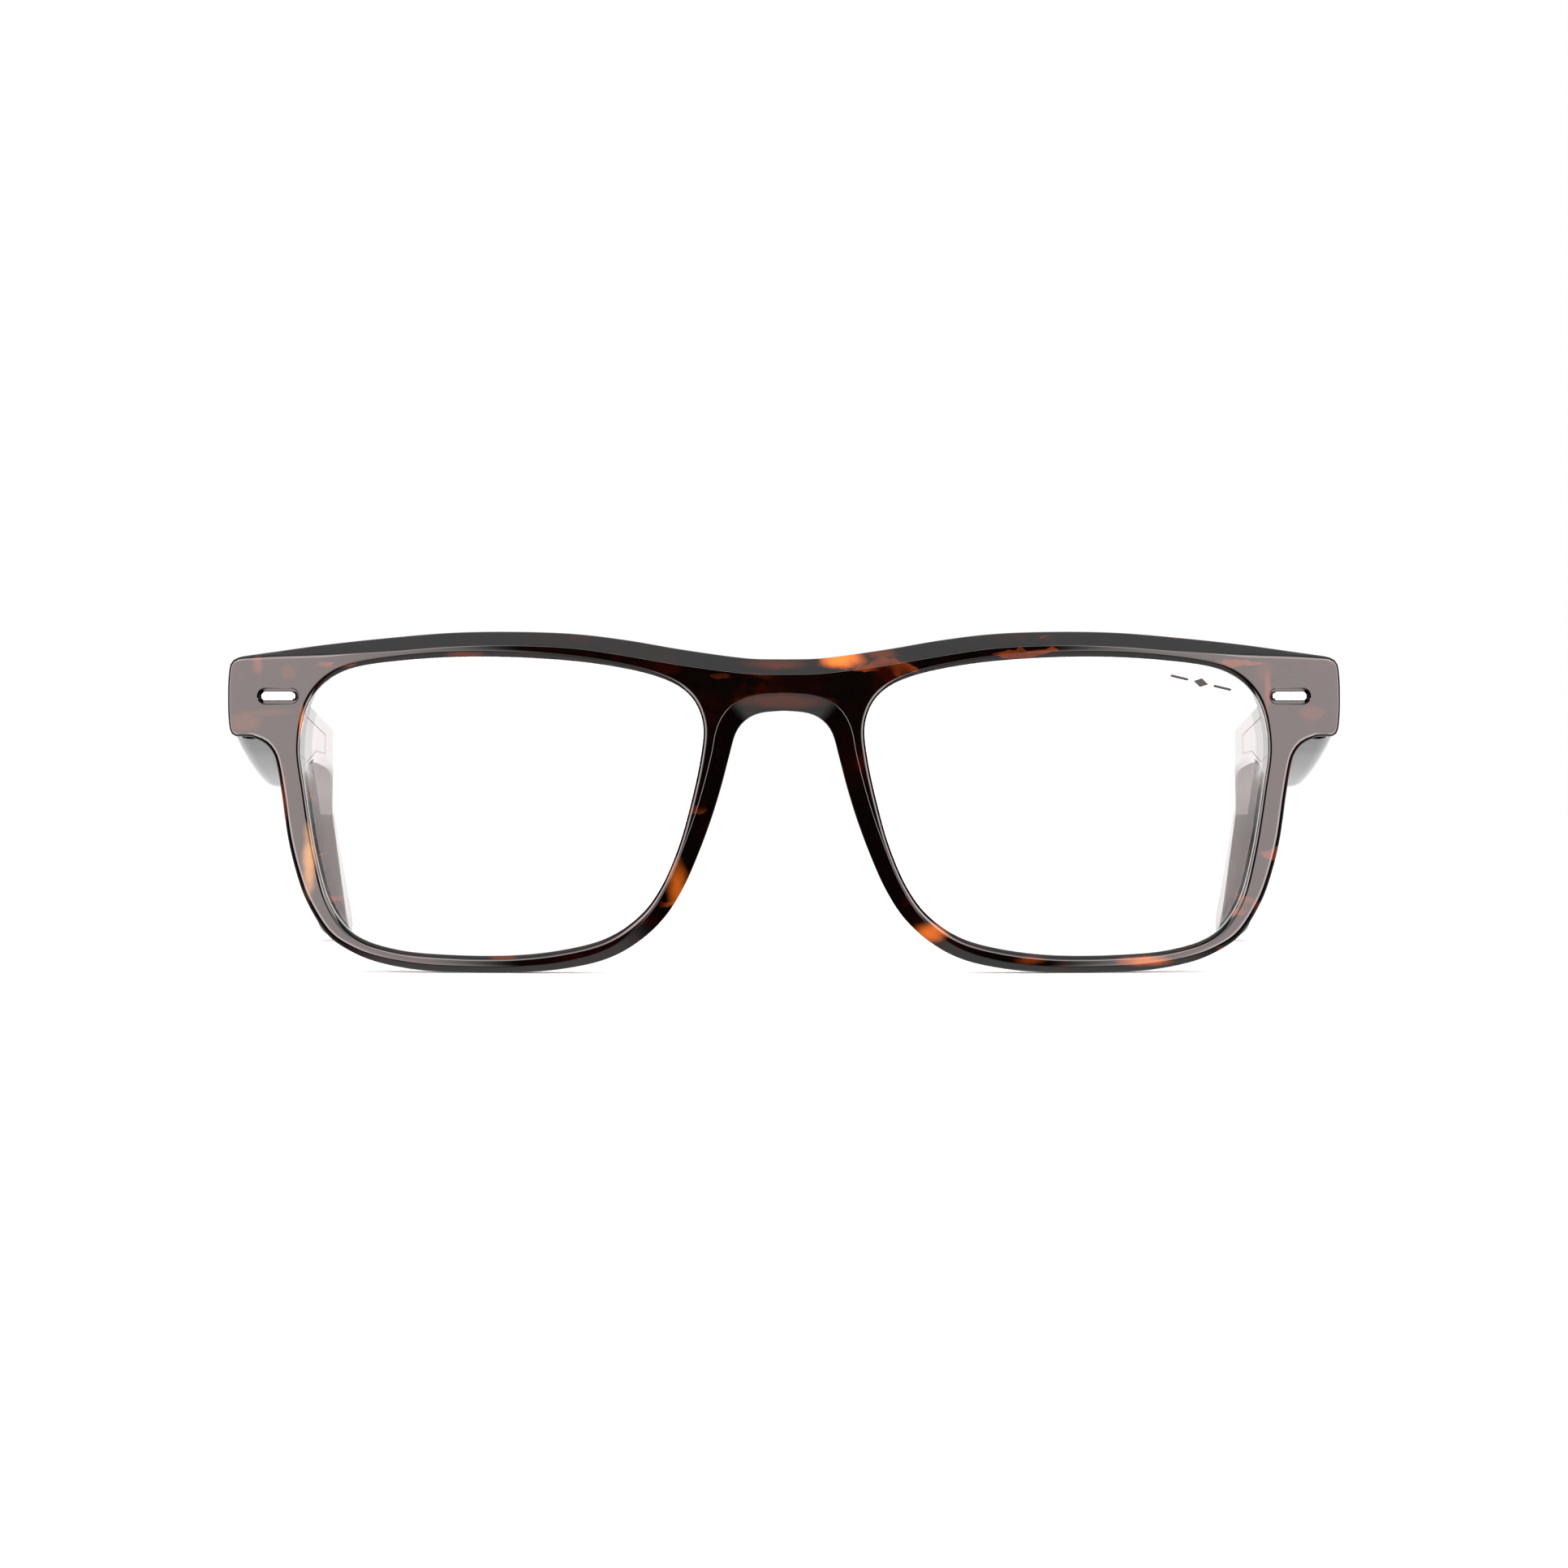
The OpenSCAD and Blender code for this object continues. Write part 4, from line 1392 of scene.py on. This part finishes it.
@dataclass
class CarriedNodes:
    """CAD nodes that stay as they are and only get a finish.

    Attributes:
        frame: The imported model.
        finishes: The materials.
    """

    frame: dict
    finishes: Finishes

    FINISH_BY_SLOT: ClassVar[dict[str, str]] = {
        "hinge": "hinge_steel", "steel": "screw_steel", "core": "core_dark", "battery": "foil",
        "board": "board_green", "electronics": "chip_black", "copper": "dark_nickel", "light": "smoke_lamp",
        "cover": "dark_button", "acetate": "front_acetate", "lens": "lens_clear", "plaque": "plaque_steel"}

    def dress(self) -> None:
        """Dresses every CAD node by its slot."""
        slots = {s["node"]: s["material_slot"] for s in self.frame["record"]["subparts"]}
        for name, piece in self.frame["nodes"].items():
            self.finishes.dress(piece, self.FINISH_BY_SLOT[slots[name]])
            log.info("dressed %s", name)


# ---------------------------------------------------------------- studio


@dataclass(frozen=True)
class SoftBox:
    """A soft light on the studio's walls.

    Attributes:
        power: Its brightness.
        turn: Its lowest and highest angle from straight ahead of the glasses and its softness, in degrees.
        lift: The same for its angle above the horizon.
    """

    power: float
    turn: tuple[float, float, float] = (-360.0, 360.0, 1.0)
    lift: tuple[float, float, float] = (-360.0, 360.0, 1.0)

    def mask(self, nodes: Nodes, turn: Socket, lift: Socket) -> Socket:
        """Makes the mask that is 1 inside the box, with soft borders outside it.

        Args:
            nodes: The helper of the world's nodes.
            turn: Angle of the ray from straight ahead.
            lift: Angle of the ray above the horizon.

        Returns:
            The mask.
        """
        whole = 1.0
        for value, (low, high, soft) in ((turn, self.turn), (lift, self.lift)):
            fall = nodes.maths("SUBTRACT", 1.0, nodes.ramp(value, high, high + soft))
            within = nodes.maths("MULTIPLY", nodes.ramp(value, low - soft, low), fall)
            whole = nodes.maths("MULTIPLY", whole, within)
        return whole


# Three at the sides, the first of which shapes the warm tint, then one high in front, the top, the floor and the
# wall behind
SOFT_BOXES = (SoftBox(4.9, turn=(27.0, 60.0, 8.0), lift=(-38.0, 38.0, 7.0)),
              SoftBox(1.5, turn=(36.0, 62.0, 12.0), lift=(-38.0, 38.0, 7.0)),
              SoftBox(6.0, turn=(46.0, 60.0, 6.0), lift=(-38.0, 38.0, 7.0)),
              SoftBox(8.5, turn=(-360.0, 34.0, 10.0), lift=(14.5, 20.0, 2.0)),
              SoftBox(1.05, lift=(66.0, 360.0, 26.0)),
              SoftBox(0.95, lift=(-360.0, -66.0, 22.0)),
              SoftBox(1.0, turn=(125.0, 360.0, 30.0)))


@dataclass
class Studio:
    """The camera, the light and the floor. Lengths are in millimetres, the floor's in metres."""

    view_width: float = 202.9
    distance: float = 700.0
    plane: float = 8.0
    height: float = 24.3
    sensor: float = 36.0
    floor_side: float = 6.0
    lens_gain: float = 0.3
    blush: tuple[float, float, float, float] = (1.0, 0.875, 0.86, 1)
    boxes: tuple[SoftBox, ...] = SOFT_BOXES

    def camera(self) -> None:
        """Places the level camera in front of the glasses."""
        data = bpy.data.cameras.new("camera")
        data.sensor_width = self.sensor
        data.lens = self.sensor * self.distance / self.view_width
        data.clip_start, data.clip_end = 0.01, 50
        piece = bpy.data.objects.new("camera", data)
        piece.location = (0, (self.plane - self.distance) * MM, self.height * MM)
        piece.rotation_euler = (math.pi / 2, 0, 0)
        bpy.context.scene.collection.objects.link(piece)
        bpy.context.scene.camera = piece

    def floor(self, level: float, finishes: Finishes) -> None:
        """Lays a plain pale floor.

        Args:
            level: Its height, in metres.
            finishes: The materials.
        """
        half = self.floor_side / 2
        mesh = bpy.data.meshes.new("studio_floor")
        corners = [(-half, -half, level), (half, -half, level), (half, half, level), (-half, half, level)]
        mesh.from_pydata(corners, [], [(0, 1, 2, 3)])
        piece = bpy.data.objects.new("studio_floor", mesh)
        bpy.context.scene.collection.objects.link(piece)
        piece.visible_glossy = False
        finishes.dress(piece, "floor")
        piece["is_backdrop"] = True

    def sky(self) -> None:
        """Paints the studio: white behind, dark in front, soft boxes at both sides, a top and a floor."""
        world = bpy.data.worlds.new("studio")
        bpy.context.scene.world = world
        world.use_nodes = True
        world.node_tree.nodes.clear()
        nodes = Nodes(world.node_tree)
        ray = nodes.add("TexCoord").outputs["Generated"]
        x, y, z = nodes.add("SeparateXYZ", {0: ray}).outputs
        forward = nodes.maths("MULTIPLY", y, -1.0)
        turn = nodes.maths("DEGREES", nodes.maths("ARCTAN2", nodes.maths("ABSOLUTE", x), forward))
        lift = nodes.maths("DEGREES", nodes.maths("ARCSINE", z))

        masks = [box.mask(nodes, turn, lift) for box in self.boxes]
        strength = 0.0
        for box, mask in zip(self.boxes, masks):
            strength = nodes.maths("MULTIPLY_ADD", mask, box.power, strength)
        tint = nodes.mix(masks[0], WHITE, self.blush)
        studio = nodes.add("Background", {"Color": tint, "Strength": strength})
        path = nodes.add("LightPath")
        later = nodes.maths("ADD", path.outputs["Diffuse Depth"], path.outputs["Glossy Depth"])
        straight = nodes.maths("MULTIPLY", path.outputs["Is Transmission Ray"],
                               nodes.maths("LESS_THAN", later, 0.5))
        backdrop = nodes.maths("MULTIPLY_ADD", straight, self.lens_gain, 1.0)
        white = nodes.add("Background", {"Color": WHITE, "Strength": backdrop})
        shown = nodes.maths("MAXIMUM", path.outputs["Is Camera Ray"], straight)
        mixed = nodes.add("MixShader", {0: shown, 1: studio.outputs[0], 2: white.outputs[0]})
        out = nodes.add("OutputWorld")
        world.node_tree.links.new(mixed.outputs[0], out.inputs["Surface"])
        scene = bpy.context.scene
        scene.view_settings.view_transform = "Standard"
        scene.view_settings.look = "None"


def rows(corners: Sequence[Sequence[float]]) -> list[list[float]]:
    """Corners as plain lists of numbers."""
    return [[float(v) for v in corner] for corner in corners]


def main() -> None:
    """Builds the scene in order."""
    logging.basicConfig(level=logging.INFO, format="%(name)s: %(message)s")
    for old in list(bpy.data.objects):
        bpy.data.objects.remove(old)
    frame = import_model()
    cad_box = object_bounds()
    studio = Studio()
    studio.camera()
    studio.sky()
    finishes = Finishes()
    studio.floor(cad_box[0][2], finishes)
    CarriedNodes(frame, finishes).dress()
    hinges = {side: Hinge.from_joint(side, frame["joints"]) for side in Side}
    Front(hinges[Side.LEFT], finishes).build()
    for side in Side:
        Temple(hinges[side], finishes).build()


if __name__ == "__main__":
    main()
